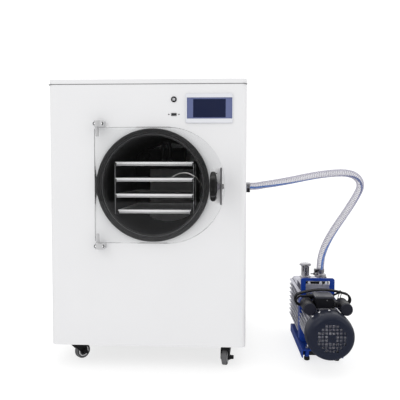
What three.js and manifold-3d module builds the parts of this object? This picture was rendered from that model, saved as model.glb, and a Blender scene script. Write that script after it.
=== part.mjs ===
// Freeze dryer: a cabinet with a vacuum chamber behind a clear door, on four casters,
// joined by a clear hose to a rotary vane vacuum pump. Millimetres, Z up.
// Everything is laid out from the middle of the cabinet's front face at floor level
// (X right, Y back), then moved so that the origin is under the middle of the whole.
import * as THREE from "three";
import { mergeVertices } from "three/addons/utils/BufferGeometryUtils.js";
import Module from "manifold-3d";

const wasm = await Module();
wasm.setup();

// ---- Driving dimensions ---------------------------------------------------------
const GAP = 0.3; // clearance between pieces that touch
const ROUND = 40; // sides of the large round pieces of the chamber
const CABINET = { width: 590, depth: 640, height: 800, lid: 14, corner: 16, sheet: 2, fold: 30, flange: 14 };
const CASTER = { height: 68, wheel: 24, tread: 18, trail: 22, inset: 57, set: 64, axle: 3.5, disc: 8 };
const bodyTop = CASTER.height + CABINET.height;
const halfWidth = CABINET.width / 2;
const inside = halfWidth - CABINET.sheet;

const CHAMBER = { x: 19, z: bodyTop - 313, inner: 149, wall: 3, depth: CABINET.depth - 220, rim: 8 };
const drumOuter = CHAMBER.inner + CHAMBER.wall;
const GASKET = { outer: drumOuter + 15, lip: 3, face: 14 };
const RACK = {
  sheet: 1.5, pitch: 48, levels: 4,
  middle: CHAMBER.z - 8, front: 22, depth: CHAMBER.depth - 64,
};
const SHELF = { thick: 11, wall: 1.5, floor: 3, ledge: 2, lowestInset: 7 };
const CONDUIT = { y: 150, radius: 5, apart: 14, block: 14 };
const CRADLE = {
  half: drumOuter + 13, sheet: 4, front: 36,
  rear: CHAMBER.depth - 24, top: CHAMBER.z - 75, leg: 40,
};
const COIL = { tube: 5, turns: 4, first: 100, last: CRADLE.rear - 56, perTurn: 14 };
const coilPitch = (COIL.last - COIL.first) / COIL.turns;
const PORT = { y: COIL.first + 2.5 * coilPitch, z: CHAMBER.z - 9, bore: 8, tube: 12, flange: 22, out: 6 };
const PROBE = { radius: 1.25 };

const DOOR = {
  thick: 20, left: CHAMBER.x - GASKET.outer - 4,
  arcX: CHAMBER.x + 44, radius: GASKET.outer + 3,
};
const HINGE = { pin: 4, deep: 27, half: 14, tall: 18 };
const HANDLE = {
  x: DOOR.arcX + DOOR.radius - 15, thick: 5, tall: 103, out: 64,
  foot: 20, axisOut: 48, axisDrop: 1,
};
const KNOB = { radius: 42, valley: 34, rim: 12.5, hub: 21, hubRadius: 15, x: HANDLE.x - 19.5, bolt: 4.8 };

const DISPLAY = {
  x: halfWidth - 111, z: bodyTop - 87, width: 139, height: 86,
  proud: 6, body: 35, margin: 10,
};
const SWITCH = { x: halfWidth - 215, z: bodyTop - 60, flange: 8.5, barrel: 7.4, well: 6.2 };
const SOCKET = { x: SWITCH.x, z: bodyTop - 104, width: 16, height: 8, slot: 13.2, slotHeight: 5.4, deep: 11 };
const COMPRESSOR = { x: 125 - halfWidth, y: CABINET.depth - 140, radius: 75, foot: 14, tall: 205 };
const CONDENSER = {
  x: halfWidth - 155, y: CABINET.depth - 95, half: 120, thick: 40,
  tall: 230, shroud: 32, fan: 92,
};
const CONTROL = { width: 200, front: 45, depth: 195, height: 110 };
const INLET = { x: 95 - halfWidth, z: CASTER.height + 82, width: 50, height: 28, recess: 14 };
const LOUVRE = { wide: 150, tall: 5, pitch: 14, count: 9, lowest: CASTER.height + 42 };

const PUMP = { x: 540, caseX: 537, axisZ: 117, motor: 68.5, fin: 10, motorFront: 2, motorLength: 148 };
const COVER = { radius: PUMP.motor + 2, rim: 21, depth: 59, sheet: 2, hole: 6.2, pitch: 10.4, sides: 32 };
const BASE = { half: 65, front: 78, length: 285, low: 12, tall: 26, sheet: 4 };
const FOOT = { radius: 9, inset: 18.5, front: 18, rear: 23 };
const PLATE = { thick: 35, half: 60, handleHalf: 54.5, handleTop: 247, windowHalf: 39.5, bar: 10 };
const CASE = {
  half: 49, fin: 60, flange: 66, length: 235, low: 41,
  top: 222, fins: 9, finPitch: 15.8, finLow: 66, head: 104, rearTop: 204,
};
const TERMINAL = { x: PUMP.x - 7.5, half: 27, front: 20, depth: 56, tall: 36, gland: 10 };
const CAPACITOR = { radius: 19, length: 80, angle: 38 };
const PUMP_PORT = { y: 250, inletX: 23, exhaustX: -28, inletTop: CASE.top + 30, exhaustTop: CASE.top + 63 };
const HOSE = { radius: 12.5, sides: 10, steps: 32 };
const CORD = { radius: 3, layers: 4, bend: 18, reach: 69, arch: 200, y: 87 };

// ---- Places that follow from them -----------------------------------------------
const panelTop = bodyTop - CABINET.lid - GAP;
const floorTop = CASTER.height + 2.5; // upper face of the base tray
const doorBack = -GASKET.face - GAP;
const doorFront = doorBack - DOOR.thick;
const hingeX = DOOR.left + DOOR.thick / 2; // the hinge edge is rounded about the pins
const hingeY = doorBack - DOOR.thick / 2;
const knobY = doorFront - HANDLE.axisOut;
const knobZ = CHAMBER.z - HANDLE.axisDrop;
const coverFront = PUMP.motorFront - COVER.depth;
const plateFront = PUMP.motorFront + PUMP.motorLength + GAP;
const caseFront = plateFront + PLATE.thick + GAP;
const motorTop = PUMP.axisZ + PUMP.motor;
const baseTop = BASE.low + BASE.tall;
const shelfZ = (i) => RACK.middle + ((RACK.levels - 1) / 2 - i) * RACK.pitch;
const rackLow = shelfZ(RACK.levels - 1) - SHELF.thick / 2 - GAP - SHELF.ledge;
// The rack's lower corners stand on the drum's wall, which has flat sides.
const drumClear = CHAMBER.inner * Math.cos(Math.PI / ROUND) - GAP;
const rackHalf = Math.sqrt(drumClear ** 2 - (CHAMBER.z - rackLow) ** 2) - RACK.sheet;

// ---- Shape helpers --------------------------------------------------------------
// A three.js geometry as a solid for booleans, turned the right way out.
function solid(geometry) {
  const bare = geometry.index ? geometry.toNonIndexed() : geometry.clone();
  bare.deleteAttribute("normal");
  bare.deleteAttribute("uv");
  const merged = mergeVertices(bare, 1e-3);
  const at = merged.attributes.position;
  const triangles = [];
  let volume = 0;
  const a = new THREE.Vector3();
  const b = new THREE.Vector3();
  const c = new THREE.Vector3();
  for (let i = 0; i < merged.index.count; i += 3) {
    const [p, q, r] = [0, 1, 2].map((k) => merged.index.getX(i + k));
    if (p === q || q === r || p === r) continue;
    triangles.push(p, q, r);
    a.fromBufferAttribute(at, p);
    b.fromBufferAttribute(at, q);
    c.fromBufferAttribute(at, r);
    volume += a.dot(b.cross(c));
  }
  if (volume < 0) triangles.reverse();
  const mesh = new wasm.Mesh({
    numProp: 3,
    vertProperties: at.array,
    triVerts: new Uint32Array(triangles),
  });
  return new wasm.Manifold(mesh);
}

function geometryOf(shape) {
  const mesh = shape.getMesh();
  const points = new Float32Array(mesh.numVert * 3);
  for (let i = 0; i < mesh.numVert; i++) {
    const start = i * mesh.numProp;
    points.set(mesh.vertProperties.subarray(start, start + 3), i * 3);
  }
  const indexed = new THREE.BufferGeometry();
  indexed.setAttribute("position", new THREE.BufferAttribute(points, 3));
  indexed.setIndex(new THREE.BufferAttribute(mesh.triVerts, 1));
  const flat = indexed.toNonIndexed();
  flat.computeVertexNormals();
  return flat;
}

const union = (...parts) => parts.reduce((whole, part) => whole.add(part));
const cut = (whole, ...parts) => parts.reduce((rest, part) => rest.subtract(part), whole);

function block(x0, x1, y0, y1, z0, z1) {
  const box = new THREE.BoxGeometry(x1 - x0, y1 - y0, z1 - z0);
  return solid(box.translate((x0 + x1) / 2, (y0 + y1) / 2, (z0 + z1) / 2));
}

// Turns a geometry made about +Y (a lathe) or along +Z (an extrusion) to another axis.
const LATHE_TURN = { x: [0, 0, -Math.PI / 2], y: [0, 0, 0], z: [Math.PI / 2, 0, 0] };
const SIDE_BASIS = new THREE.Matrix4().makeBasis(
  new THREE.Vector3(0, 1, 0),
  new THREE.Vector3(0, 0, 1),
  new THREE.Vector3(1, 0, 0),
);

// A turned piece: profile points are [radius, distance along the axis].
function turned(axis, centre, profile, sides = 32) {
  const points = profile.map(([r, along]) => new THREE.Vector2(r, along));
  const closed = profile[0][0] > 0 ? [...points, points[0].clone()] : points;
  const lathe = new THREE.LatheGeometry(closed, sides);
  const [rx, ry, rz] = LATHE_TURN[axis];
  lathe.rotateX(rx).rotateY(ry).rotateZ(rz);
  return solid(lathe.translate(...centre));
}

// A round bar along an axis from one place to another, centred on the two other ones.
function rod(axis, radius, from, to, centre, sides = 24) {
  return turned(axis, centre, [[0, from], [radius, from], [radius, to], [0, to]], sides);
}

// Extrusions of a flat outline: standing up (plan), along Y (front) or along X (side).
function planPrism(shape, z0, z1, curveSegments = 6) {
  const geometry = new THREE.ExtrudeGeometry(shape, { depth: z1 - z0, bevelEnabled: false, curveSegments });
  return solid(geometry.translate(0, 0, z0));
}

function frontPrism(shape, y0, y1, curveSegments = 6) {
  const geometry = new THREE.ExtrudeGeometry(shape, { depth: y1 - y0, bevelEnabled: false, curveSegments });
  return solid(geometry.rotateX(Math.PI / 2).translate(0, y1, 0));
}

function sidePrism(shape, x0, x1, curveSegments = 6) {
  const geometry = new THREE.ExtrudeGeometry(shape, { depth: x1 - x0, bevelEnabled: false, curveSegments });
  return solid(geometry.applyMatrix4(SIDE_BASIS).translate(x0, 0, 0));
}

function outline(points) {
  return new THREE.Shape(points.map(([x, y]) => new THREE.Vector2(x, y)));
}

function roundedRectangle(x0, x1, y0, y1, radius) {
  const shape = new THREE.Shape();
  shape.moveTo(x0 + radius, y0);
  shape.lineTo(x1 - radius, y0);
  shape.absarc(x1 - radius, y0 + radius, radius, -Math.PI / 2, 0);
  shape.absarc(x1 - radius, y1 - radius, radius, 0, Math.PI / 2);
  shape.absarc(x0 + radius, y1 - radius, radius, Math.PI / 2, Math.PI);
  shape.absarc(x0 + radius, y0 + radius, radius, Math.PI, 1.5 * Math.PI);
  return shape;
}

// A tube or bar swept along a smooth curve through the points.
function swept(points, radius, sides, steps) {
  const curve = new THREE.CatmullRomCurve3(points.map((p) => new THREE.Vector3(...p)), false, "centripetal");
  const section = new THREE.Shape();
  for (let i = 0; i < sides; i++) {
    const turn = (2 * Math.PI * i) / sides;
    const place = [radius * Math.cos(turn), radius * Math.sin(turn)];
    if (i === 0) section.moveTo(...place);
    else section.lineTo(...place);
  }
  section.closePath();
  return solid(new THREE.ExtrudeGeometry(section, { steps, extrudePath: curve, bevelEnabled: false }));
}

// ---- Materials ------------------------------------------------------------------
const material = (color, roughness, metalness = 0) =>
  new THREE.MeshStandardMaterial({ color, roughness, metalness });
const paint = () => material(0xe6e7e9, 0.45);
const steel = () => material(0xb9bcc0, 0.3, 1);
const aluminium = () => material(0xbfc2c6, 0.4, 1);
const blackRubber = () => material(0x1b1b1d, 0.75);
const blackPlastic = () => material(0x26272b, 0.5);
const bluePaint = () => material(0x17348c, 0.4);
const copper = () => material(0xb87449, 0.35, 1);
const zincSteel = () => material(0x9a9da2, 0.45, 1);
const acrylic = () =>
  new THREE.MeshStandardMaterial({ color: 0xdfe8ea, roughness: 0.05, transparent: true, opacity: 0.25 });

const group = new THREE.Group();
const machine = new THREE.Group();
group.add(machine);

function place(name, shape, finish, parent = machine) {
  const mesh = new THREE.Mesh(geometryOf(shape), finish);
  mesh.name = name;
  parent.add(mesh);
  return mesh;
}

// ---- Cabinet --------------------------------------------------------------------
// Row of vent slots, as boxes to cut, across X or Y through the given thickness.
function slots(along, middle, through0, through1) {
  return Array.from({ length: LOUVRE.count }, (_, i) => {
    const z0 = LOUVRE.lowest + i * LOUVRE.pitch;
    const half = LOUVRE.wide / 2;
    return along === "x"
      ? block(middle - half, middle + half, through0, through1, z0, z0 + LOUVRE.tall)
      : block(through0, through1, middle - half, middle + half, z0, z0 + LOUVRE.tall);
  });
}

function frontPanel() {
  const { corner, sheet, fold } = CABINET;
  const shape = new THREE.Shape();
  shape.moveTo(-halfWidth, fold);
  shape.lineTo(-halfWidth, corner);
  shape.absarc(-halfWidth + corner, corner, corner, Math.PI, 1.5 * Math.PI);
  shape.lineTo(halfWidth - corner, 0);
  shape.absarc(halfWidth - corner, corner, corner, -Math.PI / 2, 0);
  shape.lineTo(halfWidth, fold);
  shape.lineTo(inside, fold);
  shape.lineTo(inside, corner);
  shape.absarc(halfWidth - corner, corner, corner - sheet, 0, -Math.PI / 2, true);
  shape.lineTo(-halfWidth + corner, sheet);
  shape.absarc(-halfWidth + corner, corner, corner - sheet, -Math.PI / 2, -Math.PI, true);
  shape.lineTo(-inside, fold);
  const bodyHalf = DISPLAY.width / 2 - DISPLAY.margin + 1;
  const bodyTall = DISPLAY.height / 2 - DISPLAY.margin + 1;
  return cut(
    planPrism(shape, CASTER.height, panelTop),
    rod("y", drumOuter + 1, -5, 5, [CHAMBER.x, 0, CHAMBER.z], ROUND),
    block(DISPLAY.x - bodyHalf, DISPLAY.x + bodyHalf, -5, 5, DISPLAY.z - bodyTall, DISPLAY.z + bodyTall),
    rod("y", SWITCH.barrel + GAP, -5, 5, [SWITCH.x, 0, SWITCH.z]),
    block(
      SOCKET.x - SOCKET.width / 2 - GAP,
      SOCKET.x + SOCKET.width / 2 + GAP,
      -5,
      5,
      SOCKET.z - SOCKET.height / 2 - GAP,
      SOCKET.z + SOCKET.height / 2 + GAP,
    ),
  );
}

// A flat sheet with a flange folded inwards at the front and at the back.
function sidePanel(side) {
  const y0 = CABINET.fold + GAP;
  const y1 = CABINET.depth - CABINET.sheet - GAP;
  const { flange, sheet } = CABINET;
  const points = [
    [halfWidth, y0],
    [halfWidth, y1],
    [halfWidth - flange, y1],
    [halfWidth - flange, y1 - sheet],
    [inside, y1 - sheet],
    [inside, y0 + sheet],
    [halfWidth - flange, y0 + sheet],
    [halfWidth - flange, y0],
  ].map(([x, y]) => [side * x, y]);
  const panel = planPrism(outline(points), CASTER.height, panelTop);
  const [x0, x1] = side < 0 ? [-halfWidth - 5, -inside + 5] : [inside - 5, halfWidth + 5];
  const vents = slots("y", CONDENSER.y - 120, x0, x1);
  const vented = cut(panel, ...vents);
  if (side < 0) return vented;
  return cut(vented, rod("x", PORT.tube + 1, x0, x1, [0, PORT.y, PORT.z]));
}

function rearPanel() {
  const y0 = CABINET.depth - CABINET.sheet;
  const sheet = block(-halfWidth, halfWidth, y0, CABINET.depth, CASTER.height, panelTop);
  const hole = block(
    INLET.x - INLET.width / 2 + 8,
    INLET.x + INLET.width / 2 - 8,
    y0 - 5,
    CABINET.depth + 5,
    INLET.z - INLET.height / 2 + 2,
    INLET.z + INLET.height / 2 - 2,
  );
  return cut(sheet, hole, ...slots("x", CONDENSER.x, y0 - 5, CABINET.depth + 5));
}

function topLid() {
  const { corner, depth, sheet, lid } = CABINET;
  const outer = roundedRectangle(-halfWidth, halfWidth, 0, depth, corner);
  const inner = roundedRectangle(-inside, inside, sheet, depth - sheet, corner - sheet);
  return cut(planPrism(outer, bodyTop - lid, bodyTop), planPrism(inner, bodyTop - lid - 1, bodyTop - sheet));
}

// A steel tray with the four mounting plates of the casters under its corners.
function baseFrame() {
  const x = halfWidth - CABINET.flange - GAP;
  const y0 = CABINET.sheet + GAP;
  const y1 = CABINET.depth - CABINET.sheet - GAP;
  const z = CASTER.height;
  const wall = 2.5;
  const tray = cut(
    block(-x, x, y0, y1, z, z + 30),
    block(-x + wall, x - wall, y0 + wall, y1 - wall, z + wall, z + 31),
  );
  const plate = 23;
  const plates = casterPlaces().map((at) =>
    block(at.x - plate, at.x + plate, at.y - plate, at.y + plate, z - 2.5, z + 1),
  );
  return union(tray, ...plates);
}

// Swivel axes of the casters, and how each one happens to be turned, in degrees.
function casterPlaces() {
  const x = halfWidth - CASTER.inset;
  return [
    { name: "front_left", x: -x, y: CASTER.set, turn: -45, brake: 1 },
    { name: "front_right", x, y: CASTER.set, turn: 170, brake: -1 },
    { name: "rear_left", x: -x, y: CABINET.depth - CASTER.set, turn: 20, brake: 0 },
    { name: "rear_right", x, y: CABINET.depth - CASTER.set, turn: -15, brake: 0 },
  ];
}

function casterFork() {
  const { wheel, trail, tread, axle, height } = CASTER;
  const cheekIn = tread / 2 + 1.5;
  const cheekOut = cheekIn + 2.5;
  const crown = wheel * 2 + 3;
  const cheek = new THREE.Shape();
  cheek.moveTo(-15, crown + 4);
  cheek.lineTo(-15, crown - 2);
  cheek.lineTo(trail - 8, wheel - 3);
  cheek.absarc(trail, wheel, 8.5, 1.12 * Math.PI, 2 * Math.PI);
  cheek.lineTo(trail + 8.5, crown + 4);
  const head = union(
    block(-cheekOut, cheekOut, -15, trail + 8.5, crown, crown + 4),
    rod("z", 17, crown + 1, height - 2.5 - GAP, [0, 0, 0], 16),
  );
  return union(
    head,
    sidePrism(cheek, -cheekOut, -cheekIn, 4),
    sidePrism(cheek, cheekIn, cheekOut, 4),
    rod("x", axle, -cheekOut - 1, cheekOut + 1, [0, trail, wheel], 12),
  );
}

function casterWheel() {
  const { wheel, trail, tread, axle } = CASTER;
  const half = tread / 2;
  const hub = half + 0.7;
  const bore = axle + 0.4;
  const profile = [
    [bore, -hub],
    [9, -hub],
    [wheel - 4, -half + 1.5],
    [wheel, -half + 3],
    [wheel, half - 3],
    [wheel - 4, half - 1.5],
    [9, hub],
    [bore, hub],
  ];
  return turned("x", [0, trail, wheel], profile, 20);
}

// A side lever that turns about the axle: a disc against the cheek with a foot tab.
function brakeLever(side) {
  const { wheel, trail, tread, disc } = CASTER;
  const inner = tread / 2 + 1.5 + 2.5 + 1 + GAP;
  const [a, b] = [side * inner, side * (inner + 2.5)];
  const [c, d] = [side * (inner + 1), side * (inner + 12)];
  return union(
    rod("x", disc, Math.min(a, b), Math.max(a, b), [0, trail, wheel], 20),
    block(Math.min(c, d), Math.max(c, d), trail - 5, trail + 5, wheel - 4, wheel + 6),
  );
}

function addCasters() {
  for (const { name, x, y, turn, brake } of casterPlaces()) {
    const caster = new THREE.Group();
    caster.position.set(x, y, 0);
    caster.rotation.z = THREE.MathUtils.degToRad(turn);
    machine.add(caster);
    place("caster_fork_" + name, casterFork(), blackPlastic(), caster);
    place("caster_wheel_" + name, casterWheel(), blackRubber(), caster);
    if (brake) place("brake_lever_" + name, brakeLever(brake), blackPlastic(), caster);
  }
}

function addCabinet() {
  place("base_frame", baseFrame(), zincSteel());
  place("front_panel", frontPanel(), paint());
  place("side_panel_left", sidePanel(-1), paint());
  place("side_panel_right", sidePanel(1), paint());
  place("rear_panel", rearPanel(), paint());
  place("top_lid", topLid(), paint());
}

// ---- Vacuum chamber -------------------------------------------------------------
function vacuumDrum() {
  const { x, z, inner, depth, rim } = CHAMBER;
  const back = depth + 5;
  const profile = [
    [0, back],
    [drumOuter, back],
    [drumOuter, -rim],
    [inner, -rim],
    [inner, depth],
    [0, depth],
  ];
  const can = turned("y", [x, 0, z], profile, ROUND);
  return cut(can, rod("x", PORT.tube + GAP, 0, drumOuter + 10, [x, PORT.y, PORT.z]));
}

function doorGasket() {
  const { x, z, inner, rim } = CHAMBER;
  const { outer, lip, face } = GASKET;
  const profile = [
    [drumOuter + GAP, -GAP],
    [outer, -GAP],
    [outer, -face],
    [inner - lip, -face],
    [inner - lip, -rim - GAP],
    [drumOuter + GAP, -rim - GAP],
  ];
  return turned("y", [x, 0, z], profile, ROUND);
}

// Two saddles that hug the drum, tied together by rails low down on both sides.
function drumCradle() {
  const { x, z } = CHAMBER;
  const { half, sheet, front, rear, top, leg } = CRADLE;
  const low = floorTop + GAP;
  const saddles = [front, rear].map((y) =>
    cut(
      block(x - half, x + half, y, y + sheet, low, top),
      rod("y", drumOuter + GAP + 0.2, y - 5, y + sheet + 5, [x, 0, z], ROUND),
      block(x - half + leg, x + half - leg, y - 5, y + sheet + 5, low + leg, z - drumOuter - leg),
    ),
  );
  const rails = [-1, 1].map((side) => {
    const edge = x + side * (half - 8);
    return block(edge - 8, edge + 8, front + 1, rear + 1, low, low + 20);
  });
  return union(...saddles, ...rails);
}

// The cooling coil wound round the outside of the drum.
function coldCoil() {
  const { tube, turns, first, perTurn } = COIL;
  const radius = (drumOuter + GAP + tube) / Math.cos(Math.PI / perTurn);
  const count = turns * perTurn;
  const points = Array.from({ length: count + 1 }, (_, i) => {
    const turn = (2 * Math.PI * i) / perTurn;
    const y = first + (coilPitch * i) / perTurn;
    return [CHAMBER.x + radius * Math.cos(turn), y, CHAMBER.z + radius * Math.sin(turn)];
  });
  return swept(points, tube, 6, count);
}

// Two side sheets with a pair of ledges for each shelf, joined by bars at the back.
function shelfRack() {
  const { sheet, front, depth, levels } = RACK;
  const { x } = CHAMBER;
  const { thick, ledge } = SHELF;
  const back = front + depth;
  const high = shelfZ(0) + thick / 2 + 3;
  const parts = [-1, 1].map((side) => {
    const [a, b] = [x + side * rackHalf, x + side * (rackHalf + sheet)];
    return block(Math.min(a, b), Math.max(a, b), front, back + 6, rackLow, high);
  });
  for (let i = 0; i < levels; i++) {
    const z = shelfZ(i) - thick / 2 - GAP;
    parts.push(block(x - rackHalf, x - rackHalf + 12, front, back, z - ledge, z));
    parts.push(block(x + rackHalf - 12, x + rackHalf, front, back, z - ledge, z));
  }
  for (const z of [shelfZ(0) - 6, shelfZ(levels - 1)]) {
    parts.push(block(x - rackHalf, x + rackHalf, back + 2, back + 6, z - 8, z + 8));
  }
  const plateHalf = 68;
  const plateTop = CHAMBER.z + Math.sqrt((CHAMBER.inner - 6) ** 2 - plateHalf ** 2);
  return union(...parts, block(x - plateHalf, x + plateHalf, back + 2, back + 4, shelfZ(0) - 12, plateTop));
}

// A shallow open tray of aluminium; the lowest one is a little narrower.
function shelf(i) {
  const { wall, floor, thick, lowestInset } = SHELF;
  const half = rackHalf - GAP - (i === RACK.levels - 1 ? lowestInset : 0);
  const { x } = CHAMBER;
  const y0 = RACK.front;
  const y1 = RACK.front + RACK.depth - GAP;
  const z0 = shelfZ(i) - thick / 2;
  return cut(
    block(x - half, x + half, y0, y1, z0, z0 + thick),
    block(x - half + wall, x + half - wall, y0 + wall, y1 - wall, z0 + floor, z0 + thick + 1),
  );
}

// Two feed tubes for the heated shelves, on a junction block that sits on the top one.
function heaterConduits() {
  const { y, radius, apart, block: height } = CONDUIT;
  const low = shelfZ(0) - SHELF.thick / 2 + SHELF.floor + GAP;
  const x = CHAMBER.x + 16;
  const top = CHAMBER.z + Math.sqrt((drumClear - 1) ** 2 - (16 + apart + radius) ** 2);
  const tubes = [x, x + apart].map((cx) => rod("z", radius, low + 4, top, [cx, y, 0], 14));
  return union(block(x - 8, x + apart + 8, y - 8, y + 8, low, low + height), ...tubes);
}

// Lead of the product probe: from the drum's right wall over the second shelf.
function probeCable() {
  const z = shelfZ(1) + SHELF.thick / 2;
  const floor = z - SHELF.thick + SHELF.floor + PROBE.radius + GAP;
  const wall = CHAMBER.x + CHAMBER.inner - 1.8;
  const points = [
    [wall, 70, CHAMBER.z],
    [wall - 8, 70, CHAMBER.z + 3],
    [CHAMBER.x + rackHalf + 8, 40, z + 2],
    [CHAMBER.x + rackHalf + 2, 14, z + 6],
    [CHAMBER.x + rackHalf - 14, 26, z + 14],
    [CHAMBER.x + rackHalf - 36, 44, z + 15],
    [CHAMBER.x + rackHalf - 58, 56, z + 8],
    [CHAMBER.x + rackHalf - 76, 62, floor + 1.5],
    [CHAMBER.x + rackHalf - 92, 64, floor],
  ];
  return swept(points, PROBE.radius, 8, 20);
}

// The suction pipe from the drum out through the side panel, ready for the hose.
function vacuumPort() {
  const start = CHAMBER.x + CHAMBER.inner - 3;
  const face = halfWidth + GAP;
  const end = face + PORT.out;
  const profile = [
    [PORT.bore, start],
    [PORT.tube, start],
    [PORT.tube, face],
    [PORT.flange, face],
    [PORT.flange, face + 4],
    [PORT.tube, end],
    [PORT.bore, end],
  ];
  return turned("x", [0, PORT.y, PORT.z], profile, 20);
}

function addChamber() {
  place("vacuum_drum", vacuumDrum(), steel());
  place("door_gasket", doorGasket(), blackRubber());
  place("drum_cradle", drumCradle(), zincSteel());
  place("cold_coil", coldCoil(), copper());
  place("shelf_rack", shelfRack(), steel());
  for (let i = 0; i < RACK.levels; i++) place("shelf_" + (i + 1), shelf(i), aluminium());
  place("heater_conduits", heaterConduits(), zincSteel());
  place("probe_cable", probeCable(), material(0xd8d4c8, 0.5));
  place("vacuum_port", vacuumPort(), steel());
}

// ---- Refrigeration and controls inside the cabinet ------------------------------
function compressor() {
  const { x, y, radius, foot, tall } = COMPRESSOR;
  const low = floorTop + GAP;
  const can = turned("z", [x, y, 0], [
    [0, low + foot],
    [radius - 12, low + foot],
    [radius, low + foot + 18],
    [radius, low + tall - 30],
    [radius - 14, low + tall - 8],
    [0, low + tall],
  ], 24);
  const plate = block(x - 62, x + 62, y - 62, y + 62, low + foot - 3, low + foot + 1);
  const grommets = [-1, 1].flatMap((i) =>
    [-1, 1].map((j) => rod("z", 9, low, low + foot - 1, [x + i * 50, y + j * 50, 0], 10)),
  );
  return union(can, plate, ...grommets);
}

// Fin block with a fan shroud in front of it and a motor held on a strut.
function condenser() {
  const { x, y, half, thick, tall, shroud, fan } = CONDENSER;
  const low = floorTop + GAP;
  const middle = low + tall / 2;
  const front = y - shroud;
  const housing = cut(
    block(x - half, x + half, front, y + 1, low, low + tall),
    rod("y", fan + 8, front - 5, y - 0.5, [x, 0, middle], 36),
  );
  return union(
    block(x - half, x + half, y, y + thick, low, low + tall),
    housing,
    block(x - half, x + half, front - 8, front + 1, middle - 6, middle + 6),
    rod("y", 24, front - 10, front + 4, [x, 0, middle], 20),
    rod("y", 4, front, y - 2, [x, 0, middle], 12),
  );
}

// An axial fan: hub with a bore and flat blades set at an angle.
function fan(centre, { hub, bore, radius, depth, blades, chord, pitch, start }) {
  const [x, y, z] = centre;
  const parts = [rod("y", hub, start, start + depth, [x, y, z], 20)];
  for (let i = 0; i < blades; i++) {
    const blade = new THREE.BoxGeometry(radius - hub + 3, 1.8, chord);
    blade.rotateX(pitch);
    blade.translate((radius + hub - 3) / 2, start + depth / 2, 0);
    blade.rotateY((2 * Math.PI * i) / blades);
    parts.push(solid(blade.translate(x, y, z)));
  }
  return cut(union(...parts), rod("y", bore, start - 5, start + depth + 5, [x, y, z], 14));
}

function condenserFan() {
  const { x, y, tall, shroud, fan: radius } = CONDENSER;
  const middle = floorTop + GAP + tall / 2;
  return fan([x, 0, middle], {
    hub: 20,
    bore: 4.6,
    radius,
    depth: 16,
    blades: 5,
    chord: 34,
    pitch: 0.45,
    start: y - shroud + 8,
  });
}

function controlBox() {
  const { width, front, depth, height } = CONTROL;
  const right = inside - GAP;
  const top = bodyTop - CABINET.lid - 6;
  return block(right - width, right, front, front + depth, top - height, top);
}

function displayPanel() {
  const { x, z, width, height, proud, body, margin } = DISPLAY;
  const half = width / 2;
  const tall = height / 2;
  const bezel = roundedRectangle(x - half, x + half, z - tall, z + tall, 5);
  const rear = [x - half + margin, x + half - margin, -1, body, z - tall + margin, z + tall - margin];
  return union(frontPrism(bezel, -proud, -GAP, 4), block(...rear));
}

function usbSocket() {
  const { x, z, width, height, slot, slotHeight, deep } = SOCKET;
  const back = CABINET.sheet + GAP;
  const face = -1.5;
  return cut(
    union(
      block(x - width / 2, x + width / 2, face, back + 12, z - height / 2, z + height / 2),
      block(x - 20, x + 20, back, back + 2, z - 8, z + 8),
    ),
    block(x - slot / 2, x + slot / 2, face - 1, face + deep, z - slotHeight / 2, z + slotHeight / 2),
  );
}

function switchBody() {
  const { x, z, flange, barrel, well } = SWITCH;
  const profile = [
    [0, 10],
    [well, 10],
    [well, -2.5],
    [flange, -2.5],
    [flange, -GAP],
    [barrel, -GAP],
    [barrel, 20],
    [0, 20],
  ];
  return turned("y", [x, 0, z], profile, 20);
}

// The rocker seen from the side, with its lower end standing out when it is off.
function switchRocker() {
  const { x, z } = SWITCH;
  const side = outline([
    [-4.2, z - 3.8],
    [-2.4, z],
    [-1.6, z + 3.8],
    [5, z + 2.6],
    [9.6, z + 0.8],
    [9.6, z - 0.8],
    [5, z - 2.6],
  ]);
  return sidePrism(side, x - 3.8, x + 3.8);
}

function powerInlet() {
  const { x, z, width, height, recess } = INLET;
  const face = CABINET.depth + GAP;
  const across = width / 2;
  const up = height / 2;
  return cut(
    union(
      block(x - across, x + across, face, face + 3, z - up, z + up),
      block(x - across + 9, x + across - 9, face - 22, face + 1, z - up + 3, z + up - 3),
    ),
    block(x - 12.5, x + 12.5, face + 3 - recess, face + 5, z - 8.5, z + 8.5),
  );
}

function addWorks() {
  place("compressor", compressor(), blackPlastic());
  place("condenser", condenser(), aluminium());
  place("condenser_fan", condenserFan(), blackPlastic());
  place("control_box", controlBox(), zincSteel());
  place("display_panel", displayPanel(), material(0x5f6991, 0.35));
  place("usb_socket", usbSocket(), zincSteel());
  place("switch_body", switchBody(), blackPlastic());
  place("switch_rocker", switchRocker(), blackPlastic());
  place("power_inlet", powerInlet(), blackPlastic());
}

// ---- Door -----------------------------------------------------------------------
function doorPlate() {
  const { left, arcX, radius, thick } = DOOR;
  const { z } = CHAMBER;
  const corner = 8;
  const shape = new THREE.Shape();
  shape.moveTo(left + corner, z - radius);
  shape.lineTo(arcX, z - radius);
  shape.absarc(arcX, z, radius, -Math.PI / 2, Math.PI / 2);
  shape.lineTo(left + corner, z + radius);
  shape.absarc(left + corner, z + radius - corner, corner, Math.PI / 2, Math.PI);
  shape.lineTo(left, z - radius + corner);
  shape.absarc(left + corner, z - radius + corner, corner, Math.PI, 1.5 * Math.PI);
  const plate = frontPrism(shape, doorFront, doorBack, 18);
  const bore = HINGE.pin + GAP;
  const deep = HINGE.deep + 1;
  const axis = [hingeX, hingeY, 0];
  const edge = cut(
    block(left - 1, hingeX, doorFront - 1, doorBack + 1, z - radius - 1, z + radius + 1),
    rod("z", thick / 2, z - radius - 2, z + radius + 2, axis, 24),
  );
  return cut(
    plate,
    edge,
    rod("z", bore, z + radius - deep, z + radius + 5, axis, 12),
    rod("z", bore, z - radius - 5, z - radius + deep, axis, 12),
  );
}

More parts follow.
